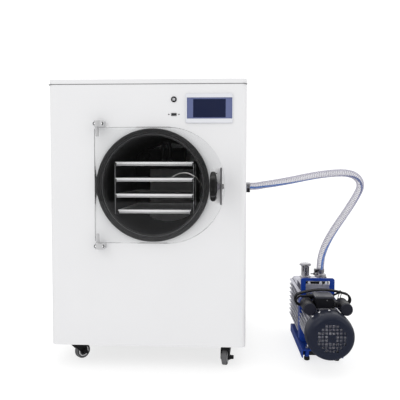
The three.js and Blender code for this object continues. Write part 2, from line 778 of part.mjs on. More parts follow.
// A block that stands off the front panel, with the hinge pin pressed into it.
function hingeBracket(up) {
  const { radius, left } = DOOR;
  const { half, tall, pin, deep } = HINGE;
  const near = CHAMBER.z + up * (radius + 0.8);
  const far = near + up * tall;
  const tip = CHAMBER.z + up * (radius - deep);
  const x = left + half;
  const shape = new THREE.Shape();
  shape.moveTo(x + half, -GAP);
  shape.lineTo(left, -GAP);
  shape.lineTo(left, hingeY);
  shape.absarc(x, hingeY, half, Math.PI, 2 * Math.PI);
  return union(
    planPrism(shape, Math.min(near, far), Math.max(near, far), 7),
    rod("z", pin, Math.min(tip, far), Math.max(tip, far), [hingeX, hingeY, 0], 12),
  );
}

// An angle on the door's face that carries the star knob's spindle.
function handleBracket() {
  const { x, thick, tall, out, foot } = HANDLE;
  const face = doorFront - GAP;
  const low = CHAMBER.z - tall / 2;
  const angle = outline([
    [x + thick, face],
    [x + thick, face - out],
    [x, face - out],
    [x, face - 4],
    [x - foot, face - 4],
    [x - foot, face],
  ]);
  const boltHole = rod("x", KNOB.bolt + 0.7, x - 5, x + thick + 5, [0, knobY, knobZ], 14);
  return cut(planPrism(angle, low, low + tall), boltHole);
}

// Six-lobed knob with its hub, collar, spindle and end nut.
function starKnob() {
  const { radius, valley, rim, hub, hubRadius, x, bolt } = KNOB;
  const points = [];
  const count = 36;
  for (let i = 0; i < count; i++) {
    const turn = (2 * Math.PI * i) / count;
    const r = (radius + valley) / 2 + ((radius - valley) / 2) * Math.cos(6 * turn);
    points.push([knobY + r * Math.cos(turn), knobZ + r * Math.sin(turn)]);
  }
  const bracketLeft = HANDLE.x - GAP;
  const bracketRight = HANDLE.x + HANDLE.thick + GAP;
  return union(
    sidePrism(outline(points), x - rim / 2, x + rim / 2),
    rod("x", hubRadius, x - hub / 2, x + hub / 2, [0, knobY, knobZ], 16),
    rod("x", 8, x, bracketLeft, [0, knobY, knobZ], 12),
    rod("x", bolt, x, bracketRight + 6, [0, knobY, knobZ], 10),
    rod("x", 8.5, bracketRight, bracketRight + 5.5, [0, knobY, knobZ], 6),
  );
}

function addDoor() {
  place("door_plate", doorPlate(), acrylic());
  place("hinge_bracket_upper", hingeBracket(1), steel());
  place("hinge_bracket_lower", hingeBracket(-1), steel());
  place("handle_bracket", handleBracket(), steel());
  place("star_knob", starKnob(), blackPlastic());
}

// ---- Vacuum pump ----------------------------------------------------------------
function pumpBase() {
  const { half, front, length, low, sheet } = BASE;
  const x0 = PUMP.x - half;
  const x1 = PUMP.x + half;
  const back = front + length;
  const shape = roundedRectangle(x0, x1, front, back, 3);
  const hollow = block(x0 + sheet, x1 - sheet, front - 1, back + 1, low - 1, baseTop - sheet);
  const bosses = footPlaces().map(([x, y]) => rod("z", FOOT.radius - 2, low, baseTop - 1, [x, y, 0], 10));
  return union(cut(planPrism(shape, low, baseTop), hollow), ...bosses);
}

function footPlaces() {
  const { inset, front, rear } = FOOT;
  const dx = BASE.half - inset;
  const rows = [BASE.front + front, BASE.front + BASE.length - rear];
  return rows.flatMap((y) => [PUMP.x - dx, PUMP.x + dx].map((x) => [x, y]));
}

function pumpFoot([x, y]) {
  const { radius } = FOOT;
  const top = BASE.low - GAP;
  return turned("z", [x, y, 0], [[0, 0], [radius - 1.5, 0], [radius, 2], [radius, top], [0, top]], 12);
}

// Blue casting between motor and oil case, with a carrying handle on top.
function pumpBracket() {
  const x = PUMP.caseX;
  const { thick, half, handleHalf, handleTop, windowHalf, bar } = PLATE;
  const y1 = plateFront + thick;
  const shoulder = motorTop + 2;
  const low = baseTop + GAP;
  const body = roundedRectangle(x - half, x + half, low, shoulder, 14);
  const handle = roundedRectangle(x - handleHalf, x + handleHalf, shoulder - 20, handleTop, 7);
  const window = roundedRectangle(x - windowHalf, x + windowHalf, shoulder + 9, handleTop - 9, 3);
  return cut(
    union(frontPrism(body, plateFront, y1, 4), frontPrism(handle, y1 - bar - 12, y1 - 12, 3)),
    frontPrism(window, plateFront - 5, y1 + 5, 2),
  );
}

// Oil case: a cast body with flat cooling fins along both sides. The tall head at its
// front carries the ports and the filler boss; the reservoir behind it is lower.
function oilCase() {
  const x = PUMP.caseX;
  const { half, fin, flange, length, low, top, fins, finPitch, finLow, head, rearTop } = CASE;
  const thick = 3.5;
  const y1 = caseFront + length;
  const right = [];
  for (let i = 0; i < fins; i++) {
    const z = finLow + i * finPitch - thick / 2;
    right.push([half, z], [fin, z + 0.8], [fin, z + thick - 0.8], [half, z + thick]);
  }
  const ring = [[half, low], ...right, [half, top - 6], [half - 6, top]];
  const left = [...ring].reverse().map(([dx, z]) => [-dx, z]);
  const shape = outline([...ring, ...left].map(([dx, z]) => [x + dx, z]));
  const boss = rod("z", 10, top - 1, top + 9, [x + 44 - 4, PUMP_PORT.y + 30, 0], 14);
  const pumpBlock = block(x - fin + 2, x + fin - 2, caseFront, caseFront + flange, low, top - 8);
  const overRear = block(x - flange, x + flange, caseFront + head, y1 + 1, rearTop, top + 1);
  return union(cut(frontPrism(shape, caseFront, y1), overRear), pumpBlock, boss);
}

function motorHousing() {
  const { x, axisZ, motor, fin, motorFront, motorLength } = PUMP;
  const core = motor - fin;
  const count = 20;
  const points = [];
  for (let i = 0; i < count; i++) {
    for (const [offset, r] of [[-0.45, core], [-0.16, motor], [0.16, motor], [0.45, core]]) {
      const turn = (2 * Math.PI * (i + offset)) / count + Math.PI / 2;
      points.push([x + r * Math.cos(turn), axisZ + r * Math.sin(turn)]);
    }
  }
  const shieldRadius = COVER.radius - COVER.sheet - 0.4;
  const body = frontPrism(outline(points), motorFront + GAP, motorFront + motorLength);
  return union(
    body,
    rod("y", shieldRadius, motorFront - 12, motorFront + 2, [x, 0, axisZ], COVER.sides),
    rod("y", 6, motorFront - 46, motorFront, [x, 0, axisZ], 12),
  );
}

// Deep-drawn fan cover with a grid of square holes in its flat face.
function motorFanCover() {
  const { x, axisZ, motorFront } = PUMP;
  const { radius, rim, sheet, hole, pitch } = COVER;
  const face = radius - rim;
  const y0 = coverFront;
  const dome = [[face, 0], [face + 11, 4], [radius - 3, 13], [radius, 29]];
  const outer = dome.map(([r, y]) => [r, y0 + y]);
  const inner = dome.map(([r, y]) => [r - sheet * 0.8, y0 + y + (y < 20 ? sheet : 0)]).reverse();
  inner[0][0] = radius - sheet;
  const profile = [
    [0, y0],
    ...outer,
    [radius, motorFront],
    [radius - sheet, motorFront],
    ...inner,
    [0, y0 + sheet],
  ];
  const shell = turned("y", [x, 0, axisZ], profile, COVER.sides);
  const rows = [4, 6, 8, 8, 8, 8, 6, 4];
  const half = hole / 2;
  const holes = [];
  rows.forEach((count, row) => {
    for (let column = 0; column < count; column++) {
      const dx = (column - (count - 1) / 2) * pitch;
      const dz = (row - (rows.length - 1) / 2) * pitch;
      if (Math.hypot(dx, dz) < pitch) continue; // the middle stays closed
      const cx = x + dx;
      const cz = axisZ + dz;
      holes.push(block(cx - half, cx + half, y0 - 5, y0 + 5, cz - half, cz + half));
    }
  });
  return cut(shell, union(...holes));
}

function motorFan() {
  return fan([PUMP.x, 0, PUMP.axisZ], {
    hub: 16,
    bore: 6.5,
    radius: COVER.radius - 14,
    depth: 24,
    blades: 7,
    chord: 22,
    pitch: 1.45,
    start: coverFront + 14,
  });
}

// Wiring box on the motor: a cord gland on its left and a round start switch on its right.
function terminalBox() {
  const { x, half, front, depth, tall, gland } = TERMINAL;
  const low = motorTop + GAP;
  const shape = roundedRectangle(x - half, x + half, front, front + depth, 4);
  const lid = roundedRectangle(x - half - 2, x + half + 2, front - 2, front + depth + 2, 5);
  return union(
    planPrism(shape, low, low + tall - 5, 3),
    planPrism(lid, low + tall - 6, low + tall, 3),
    rod("x", 5, x - half - 9, x - half + 1, [0, front + depth - 14, low + 26.5], 16),
    rod("y", gland - 1, front + 2, front + depth - 8, [x + half + gland - 2, 0, low + gland], 20),
  );
}

function capacitor(side) {
  const { radius, length, angle } = CAPACITOR;
  const turn = THREE.MathUtils.degToRad(angle);
  const reach = PUMP.motor + GAP + radius + 0.3;
  const centre = [PUMP.x + side * reach * Math.sin(turn), 0, PUMP.axisZ + reach * Math.cos(turn)];
  const y0 = PUMP.motorFront - 2;
  const profile = [
    [0, y0],
    [radius - 4, y0],
    [radius, y0 + 4],
    [radius, y0 + length],
    [0, y0 + length],
  ];
  return turned("y", centre, profile, 20);
}

// Flanged hose fitting on the oil case, held by a clamp ring.
function inletPort() {
  const x = PUMP.caseX + PUMP_PORT.inletX;
  const low = CASE.top + GAP;
  const top = PUMP_PORT.inletTop - GAP;
  const profile = [
    [0, low],
    [19, low],
    [19, low + 5],
    [13, low + 7],
    [13, low + 12],
    [20, low + 14],
    [20, low + 22],
    [12.5, top - 2],
    [12.5, top],
    [0, top],
  ];
  return turned("z", [x, PUMP_PORT.y, 0], profile, 20);
}

// Exhaust outlet: a plain neck under a mushroom cap.
function exhaustPort() {
  const x = PUMP.caseX + PUMP_PORT.exhaustX;
  const low = CASE.top + GAP;
  const top = PUMP_PORT.exhaustTop;
  const profile = [
    [0, low],
    [16, low],
    [16, low + 10],
    [19, low + 12],
    [19, low + 16],
    [13.5, low + 19],
    [13.5, top - 12],
    [20, top - 9],
    [20, top - 6],
    [13, top - 1],
    [0, top],
  ];
  return turned("z", [x, PUMP_PORT.y, 0], profile, 20);
}

function addPump() {
  place("pump_base", pumpBase(), bluePaint());
  footPlaces().forEach((spot, i) => place("pump_foot_" + (i + 1), pumpFoot(spot), blackRubber()));
  place("pump_bracket", pumpBracket(), bluePaint());
  place("oil_case", oilCase(), aluminium());
  place("motor_housing", motorHousing(), aluminium());
  place("motor_fan_cover", motorFanCover(), blackPlastic());
  place("motor_fan", motorFan(), blackPlastic());
  place("terminal_box", terminalBox(), blackPlastic());
  place("capacitor_left", capacitor(-1), blackPlastic());
  place("capacitor_right", capacitor(1), blackPlastic());
  place("inlet_port", inletPort(), steel());
  place("exhaust_port", exhaustPort(), steel());
}

// ---- Hose and cord --------------------------------------------------------------
// The clear suction hose, from the side of the cabinet over and down to the pump.
function vacuumHose() {
  const start = halfWidth + GAP + PORT.out + GAP;
  const points = [
    [start, 250, 546],
    [320, 250, 546],
    [340, 250, 547],
    [366, 250, 551.5],
    [396, 250, 556],
    [430, 250, 562],
    [466, 250, 569],
    [504, 250, 577],
    [544, 250, 584.5],
    [586, 250, 590],
    [624, 250, 592.5],
    [649, 250, 590.5],
    [668, 250, 584.5],
    [682.5, 250, 573],
    [690, 250, 557.5],
    [689.5, 250, 541],
    [683, 250, 525],
    [670, 250, 501],
    [653, 250, 473],
    [635, 250, 445],
    [616.5, 250, 417],
    [599, 250, 389],
    [584, 250, 361],
    [572, 250, 333.5],
    [564, 250, 306],
    [561, 250, 282],
    [PUMP.caseX + PUMP_PORT.inletX, PUMP_PORT.y, PUMP_PORT.inletTop + 8],
    [PUMP.caseX + PUMP_PORT.inletX, PUMP_PORT.y, PUMP_PORT.inletTop],
  ];
  return swept(points, HOSE.radius, HOSE.sides, HOSE.steps);
}

// The wound cord as an outline: two runs on an arch over the motor, joined by a round
// end wherever the run reaches the end of the hank. `u` runs along it and `v` across.
function hankOutline(from, to) {
  const { radius, bend, reach, arch } = CORD;
  const outer = bend + radius;
  const middle = motorTop + GAP + outer;
  const steps = 8;
  const points = [];
  const add = (u, v) => {
    const turn = u / arch;
    points.push([PUMP.x + (arch + v) * Math.sin(turn), middle - arch + (arch + v) * Math.cos(turn)]);
  };
  const run = (u0, u1, v) => {
    for (let i = 0; i <= steps; i++) add(u0 + ((u1 - u0) * i) / steps, v);
  };
  const end = (u, side) => {
    if (Math.abs(u) < reach) return;
    for (let i = 1; i < steps; i++) {
      const turn = (Math.PI * i) / steps;
      add(u + side * outer * Math.sin(turn), -side * outer * Math.cos(turn));
    }
  };
  run(from, to, -outer);
  end(to, 1);
  run(to, from, outer);
  end(from, -1);
  return outline(points);
}

function powerCord() {
  const { radius, layers, y, reach } = CORD;
  const front = y - radius;
  const back = front + layers * 2 * radius;
  const tail = frontPrism(hankOutline(5, reach), back - 1, back + 2 * radius);
  return union(frontPrism(hankOutline(-reach, reach), front, back), tail);
}

// Moulded plug with two pins, lying on the motor behind the wound cord.
function powerPlug() {
  const { radius, layers, y } = CORD;
  const middle = y - radius + layers * 2 * radius + 13;
  const z = motorTop + GAP + 11;
  const x = PUMP.x;
  return union(
    block(x - 46, x - 2, middle - 12, middle + 12, z - 11, z + 11),
    rod("x", 2.4, x - 65, x - 40, [0, middle - 7, z], 12),
    rod("x", 2.4, x - 65, x - 40, [0, middle + 7, z], 12),
  );
}

function addHoseAndCord() {
  place("vacuum_hose", vacuumHose(), material(0xd7d9e2, 0.3));
  place("power_cord", powerCord(), blackRubber());
  place("power_plug", powerPlug(), blackPlastic());
}

addCabinet();
addCasters();
addChamber();
addWorks();
addDoor();
addPump();
addHoseAndCord();

// The origin goes under the middle of everything but the cords and their plug.
const CORDS = ["vacuum_hose", "probe_cable", "power_cord", "power_plug"];
machine.updateMatrixWorld(true);
const bounds = new THREE.Box3();
machine.traverse((mesh) => {
  if (mesh.isMesh && !CORDS.includes(mesh.name)) bounds.expandByObject(mesh, true);
});
const middle = bounds.getCenter(new THREE.Vector3());
machine.position.set(-middle.x, -middle.y, -bounds.min.z);

export default group;
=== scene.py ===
# %% [markdown]
# # A freeze dryer and its vacuum pump
# A white sheet-metal cabinet on four casters holds a steel drum with heated shelves.
# A thick clear door closes the drum, and a clear hose leads to the vacuum pump that
# stands beside it. This script gives each solid its finish, and puts a finer piece in
# its place where that shows.

# %% Load the machine's solids
from math import atan2, cos, hypot, pi, radians, sin, tau

import bmesh
import bpy
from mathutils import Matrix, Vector


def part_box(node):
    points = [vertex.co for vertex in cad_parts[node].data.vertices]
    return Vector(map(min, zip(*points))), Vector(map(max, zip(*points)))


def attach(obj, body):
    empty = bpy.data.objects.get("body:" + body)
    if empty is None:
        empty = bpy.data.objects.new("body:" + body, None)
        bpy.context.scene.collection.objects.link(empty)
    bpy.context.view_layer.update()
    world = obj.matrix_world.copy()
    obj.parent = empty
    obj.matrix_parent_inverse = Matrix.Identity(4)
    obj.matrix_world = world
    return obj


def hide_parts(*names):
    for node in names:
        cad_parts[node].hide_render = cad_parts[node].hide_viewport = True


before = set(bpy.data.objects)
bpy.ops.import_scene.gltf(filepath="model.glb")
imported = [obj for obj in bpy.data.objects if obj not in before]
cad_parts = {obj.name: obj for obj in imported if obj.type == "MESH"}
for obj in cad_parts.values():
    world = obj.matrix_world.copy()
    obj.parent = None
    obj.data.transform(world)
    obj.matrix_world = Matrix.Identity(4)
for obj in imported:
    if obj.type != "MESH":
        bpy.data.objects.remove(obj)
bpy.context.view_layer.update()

# %% [markdown]
# ## One set of axes for everything
# The cabinet is laid out from the middle of its front face at floor level, in
# millimetres: X to the right, Y towards the back, Z up. Blender works in metres from
# the frame's own origin, so `at` turns one into the other. `extent` and `middle` give
# a solid's box and its centre in the same millimetres, which lets a finer piece take
# its size and its place from its solid.

# %% Millimetres on the cabinet
panel_low, panel_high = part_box("front_panel")
ORIGIN = Vector(((panel_low.x + panel_high.x) / 2, panel_low.y, 0))
MM = 0.001


def at(x, y, z):
    """A place on the cabinet, in millimetres, as a point of the scene in metres."""
    return ORIGIN + Vector((x, y, z)) * MM


def extent(*nodes):
    """The lowest and highest corner of the solids, in the cabinet's millimetres."""
    boxes = [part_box(node) for node in nodes]
    low = Vector([min(box[0][i] for box in boxes) for i in range(3)])
    high = Vector([max(box[1][i] for box in boxes) for i in range(3)])
    return (low - ORIGIN) / MM, (high - ORIGIN) / MM


def middle(node):
    """The centre of a solid's box."""
    low, high = extent(node)
    return (low + high) / 2


cabinet_low, cabinet_high = extent("front_panel", "rear_panel", "top_lid")
HALF_WIDTH, DEPTH = cabinet_high.x, cabinet_high.y
print("cabinet, mm:", [round(b - a) for a, b in zip(cabinet_low, cabinet_high)])

# %% [markdown]
# ## Camera, light and floor
# Someone crouched in front of the pump sees the machine like this, from just above the
# door's middle. The light is a bright room with four large soft boxes, so that white
# paint keeps a gentle gradient and the chrome has something to mirror. The room is
# darker behind the camera, or the dark screen and the knob would look grey.

# %% Camera
EYE = (230, -1540, 595)
TILTED, LEANING, TURNED = 3.1, 0.1, 2.7
camera_data = bpy.data.cameras.new("camera")
camera_data.sensor_width = 36
camera_data.lens = 46.8
camera = bpy.data.objects.new("camera", camera_data)
camera.location = at(*EYE)
camera.rotation_euler = (radians(90 - TILTED), radians(-LEANING), radians(TURNED))
bpy.context.collection.objects.link(camera)
bpy.context.scene.camera = camera
print("camera at", [round(v, 3) for v in camera.location])

# %% [markdown]
# ## Nodes by a few short calls
# The world, the materials and the Geometry Nodes trees are all built from nodes. A
# socket of a node is either given a plain value or linked to another node's output,
# and `feed` tells the two apart, so a whole node with its settings fits in one call.

# %% Helpers for any node tree
def feed(tree, node, inputs):
    """Gives sockets, by name or number, a plain value each or another node's output."""
    for socket, source in inputs.items():
        if isinstance(source, bpy.types.NodeSocket):
            tree.links.new(source, node.inputs[socket])
        else:
            node.inputs[socket].default_value = source


def wired(tree, kind, inputs, **settings):
    """A new node with its settings, fed with `inputs`."""
    node = tree.nodes.new(kind)
    for key, value in settings.items():
        setattr(node, key, value)
    feed(tree, node, inputs)
    return node


def maths(tree, operation, first, second=0.5):
    return wired(tree, "ShaderNodeMath", {0: first, 1: second}, operation=operation).outputs["Value"]


print("feed, wired and maths are ready")

# %% Room light
ROOM_LIGHT, BACKDROP = 1.0, 1.15
MIRRORED_FRONT, MIRRORED_BACK = 0.03, 0.9
scene = bpy.context.scene
scene.view_settings.view_transform = "Standard"
world = bpy.data.worlds.new("studio")
scene.world = world
world.use_nodes = True
room = world.node_tree
direction = room.nodes.new("ShaderNodeTexCoord")
split = wired(room, "ShaderNodeSeparateXYZ", {"Vector": direction.outputs["Generated"]})
mirrored_room = wired(room, "ShaderNodeMapRange", {
    "Value": split.outputs["Y"], "From Min": -1, "From Max": 1, "To Min": MIRRORED_FRONT,
    "To Max": MIRRORED_BACK,
})
seen = room.nodes.new("ShaderNodeLightPath").outputs
unmirrored = maths(room, "LESS_THAN", seen["Glossy Depth"])
through = maths(room, "MULTIPLY", seen["Is Transmission Ray"], unmirrored)
strength = mirrored_room.outputs["Result"]
levels = ((seen["Is Diffuse Ray"], ROOM_LIGHT), (through, ROOM_LIGHT), (seen["Is Camera Ray"], BACKDROP))
for ray, level in levels:
    strength = wired(room, "ShaderNodeMix", {"Factor": ray, "A": strength, "B": level}).outputs["Result"]
feed(room, room.nodes["Background"], {"Color": (1, 1, 1, 1), "Strength": strength})


def soft_box(name, place, target, width, height, watts):
    data = bpy.data.lights.new(name, "AREA")
    data.shape = "RECTANGLE"
    data.size = width
    data.size_y = height
    data.energy = watts
    lamp = bpy.data.objects.new(name, data)
    lamp.location = place
    lamp.rotation_euler = (Vector(target) - Vector(place)).to_track_quat("-Z", "Y").to_euler()
    bpy.context.collection.objects.link(lamp)


soft_box("key_light", (-1.7, -2.3, 2.3), (0, 0, 0.5), 1.6, 1.6, 9)
soft_box("fill_light", (2.3, -1.9, 1.5), (0.1, 0, 0.4), 1.2, 1.8, 3)
soft_box("top_light", (0.1, 0.1, 3.0), (0.1, 0, 0), 3.0, 3.0, 8)
soft_box("rear_light", (0.4, 2.6, 1.8), (0, 0, 0.4), 2.2, 1.6, 4)
print("four soft boxes")

# %% [markdown]
# ## A small kit of solids
# Most pieces of the machine are turned, folded or cut from bar, so a few kinds of
# solid are enough: turned about an axis, skinned over a row of outlines, or drawn
# along a path. Each helper returns plain corners and faces in millimetres. `build`
# joins such solids into one mesh with its normals outwards, and a Bevel modifier then
# rounds the edges, which is what makes a machined edge catch the light.

# %% Turned solids
PLANE = {"x": (1, 2), "y": (0, 2), "z": (0, 1)}


def set_on(axis, centre, distance, u, v):
    """A corner at a distance along an axis through the centre, and at (u, v) across it."""
    corner = list(centre)
    corner["xyz".index(axis)] += distance
    corner[PLANE[axis][0]] += u
    corner[PLANE[axis][1]] += v
    return corner


def turned(axis, centre, profile, sides):
    """Turned about an axis: the profile lists (radius, distance along the axis)."""
    corners, faces, rings = [], [], []
    for radius, distance in profile:
        count = sides if radius else 1
        rings.append((len(corners), count))
        for i in range(count):
            turn = tau * i / sides
            corners.append(set_on(axis, centre, distance, radius * cos(turn), radius * sin(turn)))
    steps = list(zip(rings, rings[1:]))
    if profile[0][0]:
        steps.append((rings[-1], rings[0]))
    for (a, n), (b, m) in steps:
        for i in range(sides):
            j = (i + 1) % sides
            face = list(dict.fromkeys([a + i % n, a + j % n, b + j % m, b + i % m]))
            if len(face) > 2:
                faces.append(face)
    return corners, faces


def rod(axis, centre, radius, start, end, sides):
    """A plain round bar from one place to another along an axis."""
    return turned(axis, centre, [(0, start), (radius, start), (radius, end), (0, end)], sides)


print("turned solids are ready")

# %% Solids skinned over outlines
def skinned(corners, n, closed=False):
    """Rings of n corners each, skinned, and capped at both ends unless the last meets the first."""
    rings = len(corners) // n
    faces = [] if closed else [list(range(n)), list(range(len(corners) - n, len(corners)))]
    for k in range(rings if closed else rings - 1):
        a, b = k * n, (k + 1) % rings * n
        faces += [[a + i, a + (i + 1) % n, b + (i + 1) % n, b + i] for i in range(n)]
    return corners, faces


def lofted(axis, centre, rings, closed=False):
    """Skinned over rings, each (distance along the axis, [(across, up), ...])."""
    corners = [set_on(axis, centre, distance, u, v) for distance, outline in rings for u, v in outline]
    return skinned(corners, len(rings[0][1]), closed)


def pushed(axis, shape, start, end):
    """A flat outline pushed along an axis from one place to another."""
    return lofted(axis, (0, 0, 0), [(start, shape), (end, shape)])


def slab(x0, x1, y0, y1, z0, z1):
    return pushed("z", [(x0, y0), (x1, y0), (x1, y1), (x0, y1)], z0, z1)


def rounded(x0, x1, y0, y1, radius, steps=5):
    """The outline of a rectangle with round corners."""
    shape = []
    quarters = [(x1, y0, -1, 1), (x1, y1, -1, -1), (x0, y1, 1, -1), (x0, y0, 1, 1)]
    for turn, (x, y, inx, iny) in enumerate(quarters):
        for i in range(steps + 1):
            angle = (turn - 1 + i / steps) * pi / 2
            shape.append((x + inx * radius + radius * cos(angle), y + iny * radius + radius * sin(angle)))
    return shape


def circle(radius, sides, x=0, y=0):
    return [(x + radius * cos(tau * i / sides), y + radius * sin(tau * i / sides)) for i in range(sides)]


print("lofted, pushed and slab are ready")

# %% Solids drawn along a path
def carried(path, section, first=None):
    """Corners carried along a path: `section` turns a share of it into (radius, angle) pairs."""
    points = [Vector(p) for p in path]
    last = len(points) - 1
    side = Vector(first) if first else (points[1] - points[0]).orthogonal()
    corners = []
    for i, point in enumerate(points):
        tangent = (points[min(i + 1, last)] - points[max(i - 1, 0)]).normalized()
        side = (side - tangent * side.dot(tangent)).normalized()
        up = tangent.cross(side)
        for radius, angle in section(i / last):
            corners.append(point + radius * (cos(angle) * side + sin(angle) * up))
    return corners


def drawn(path, radius, sides):
    """A round bar or wire drawn along a path, with closed ends."""
    ring = [(radius, tau * i / sides) for i in range(sides)]
    return skinned(carried(path, lambda share: ring), sides)


print("drawn solids are ready")

# %% Join solids into one mesh
def solid_mesh(name, parts, place):
    """One mesh from (solid, material) pairs with all faces outwards, and its materials."""
    materials = list(dict.fromkeys(material for _, material in parts))
    mesh = bpy.data.meshes.new(name)
    shape = bmesh.new()
    for (corners, faces), material in parts:
        made = [shape.verts.new(place(*corner)) for corner in corners]
        for face in faces:
            shape.faces.new([made[i] for i in face]).material_index = materials.index(material)
    bmesh.ops.recalc_face_normals(shape, faces=shape.faces)
    shape.to_mesh(mesh)
    shape.free()
    return mesh, materials


def made_of(material, *solids):
    return [(solid, material) for solid in solids]


print("solid_mesh and made_of are ready")

# %% Dress a mesh and hand it over
def dressed(name, mesh, materials, bevel=0.0, smooth=35, segments=2):
    """A mesh as an object of the scene, smooth across its shallow edges and bevelled if asked."""
    for material in materials:
        mesh.materials.append(material)
    mesh.polygons.foreach_set("use_smooth", [True] * len(mesh.polygons))
    mesh.set_sharp_from_angle(angle=radians(smooth))
    piece = bpy.data.objects.new(name, mesh)
    bpy.context.collection.objects.link(piece)
    if bevel:
        edge = piece.modifiers.new("edge", "BEVEL")
        edge.width = bevel * MM
        edge.segments = segments
        edge.limit_method = "ANGLE"
        edge.angle_limit = radians(40)
        edge.harden_normals = True
    return piece


def carry(piece, body, slot, *nodes):
    """The piece moves with a body and may stand for solids. Its slot is not used."""
    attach(piece, body)
    if nodes:
        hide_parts(*nodes)
    return piece


def build(name, parts, slot, *nodes, body="machine", **edges):
    """A piece from (solid, material) pairs, in the place of the solids that are named."""
    mesh, materials = solid_mesh(name, parts, at)
    return carry(dressed(name, mesh, materials, **edges), body, slot, *nodes)


print("build and carry are ready")

# %% [markdown]
# ## Shared finishes
# Real surfaces are never one flat value. Four effects come back on nearly all of
# them, so each belongs to a node group made once: a fine grain (the skin of powder
# coat, cast metal or moulded plastic), brushed lines, smudges where hands go, and dust
# that settles on what faces up. An image would need a layout of every piece's
# surface, and noise on Object coordinates doesn't.

# %% New trees, and two helpers for noise
def new_tree(name, kind, inputs, outputs):
    """A tree with inputs, as (label, kind of socket, value), and outputs, as (label, kind)."""
    tree = bpy.data.node_groups.new(name, kind)
    for label, socket_kind, value in inputs:
        socket = tree.interface.new_socket(label, in_out="INPUT", socket_type="NodeSocket" + socket_kind)
        if value is not None:
            socket.default_value = value
    for label, socket_kind in outputs:
        tree.interface.new_socket(label, in_out="OUTPUT", socket_type="NodeSocket" + socket_kind)
    return tree, tree.nodes.new("NodeGroupInput").outputs, tree.nodes.new("NodeGroupOutput")


def noise(tree, vector, scale, detail):
    inputs = {"Vector": vector, "Scale": scale, "Detail": detail}
    return wired(tree, "ShaderNodeTexNoise", inputs).outputs["Fac"]


def own_place(tree):
    return tree.nodes.new("ShaderNodeTexCoord").outputs["Object"]


print("new_tree and noise are ready")

# %% Node groups for grain and brushing
def grain_group():
    tree, given, made = new_tree(
        "Fine Grain", "ShaderNodeTree", [("Size mm", "Float", 1.0), ("Patch mm", "Float", 120.0)],
        [("Height", "Float"), ("Tone", "Float")],
    )
    place = own_place(tree)
    fine, slow = [maths(tree, "DIVIDE", 1 / MM, given[label]) for label in ("Size mm", "Patch mm")]
    feed(tree, made, {"Height": noise(tree, place, fine, 3), "Tone": noise(tree, place, slow, 1)})
    return tree


def brushed_group():
    tree, given, made = new_tree(
        "Brushed Lines", "ShaderNodeTree", [("Lines", "Vector", (20, 900, 900))], [("Height", "Float")]
    )
    inputs = {0: own_place(tree), 1: given["Lines"]}
    stretch = wired(tree, "ShaderNodeVectorMath", inputs, operation="MULTIPLY")
    feed(tree, made, {"Height": noise(tree, stretch.outputs["Vector"], 1.0, 2)})
    return tree


GRAIN, BRUSHED = grain_group(), brushed_group()
print("node groups:", GRAIN.name, "and", BRUSHED.name)

# %% Node group for handling and dust
def above(tree, value, threshold):
    """How far a value lies above a threshold, and never less than nothing."""
    return maths(tree, "MAXIMUM", maths(tree, "SUBTRACT", value, threshold), 0.0)


def handling_group():
    tree, given, made = new_tree(
        "Handling and Dust", "ShaderNodeTree", [("Smudges", "Float", 0.1), ("Dust", "Float", 0.1)],
        [("Smudge", "Float"), ("Settled", "Float")],
    )
    place = own_place(tree)
    smear = maths(tree, "MULTIPLY", above(tree, noise(tree, place, 28.0, 4), 0.5), 4.0)
    normal = tree.nodes.new("ShaderNodeNewGeometry").outputs["Normal"]
    upward = above(tree, wired(tree, "ShaderNodeSeparateXYZ", {"Vector": normal}).outputs["Z"], 0.25)
    settled = maths(tree, "MULTIPLY", upward, maths(tree, "ADD", noise(tree, place, 90.0, 5), 0.3))
    feed(tree, made, {
        "Smudge": maths(tree, "MULTIPLY", smear, given["Smudges"]),
        "Settled": maths(tree, "MULTIPLY", settled, given["Dust"]),
    })
    return tree


HANDLED = handling_group()
print("node group:", HANDLED.name)

# %% Helpers for a material
DUST = (0.62, 0.6, 0.57)


def mixed(tree, factor, first, second):
    """A colour between two, each a tuple or another node's output."""
    first, second = [(*end, 1) if isinstance(end, tuple) else end for end in (first, second)]
    return wired(tree, "ShaderNodeMix", {0: factor, 6: first, 7: second}, data_type="RGBA").outputs[2]


def placed(tree, group, **values):
    """A node group in a material, with its own values."""
    values = {label.replace("_", " "): value for label, value in values.items()}
    return wired(tree, "ShaderNodeGroup", values, node_tree=group).outputs


def relief(tree, height, depth):
    """A normal bent by a height from 0 to 1 that stands for a depth in millimetres."""
    return wired(tree, "ShaderNodeBump", {"Height": height, "Distance": depth * MM}).outputs["Normal"]


def start_material(name):
    material = bpy.data.materials.new(name)
    material.use_nodes = True
    return material, material.node_tree, material.node_tree.nodes["Principled BSDF"]


print("dust is", DUST)

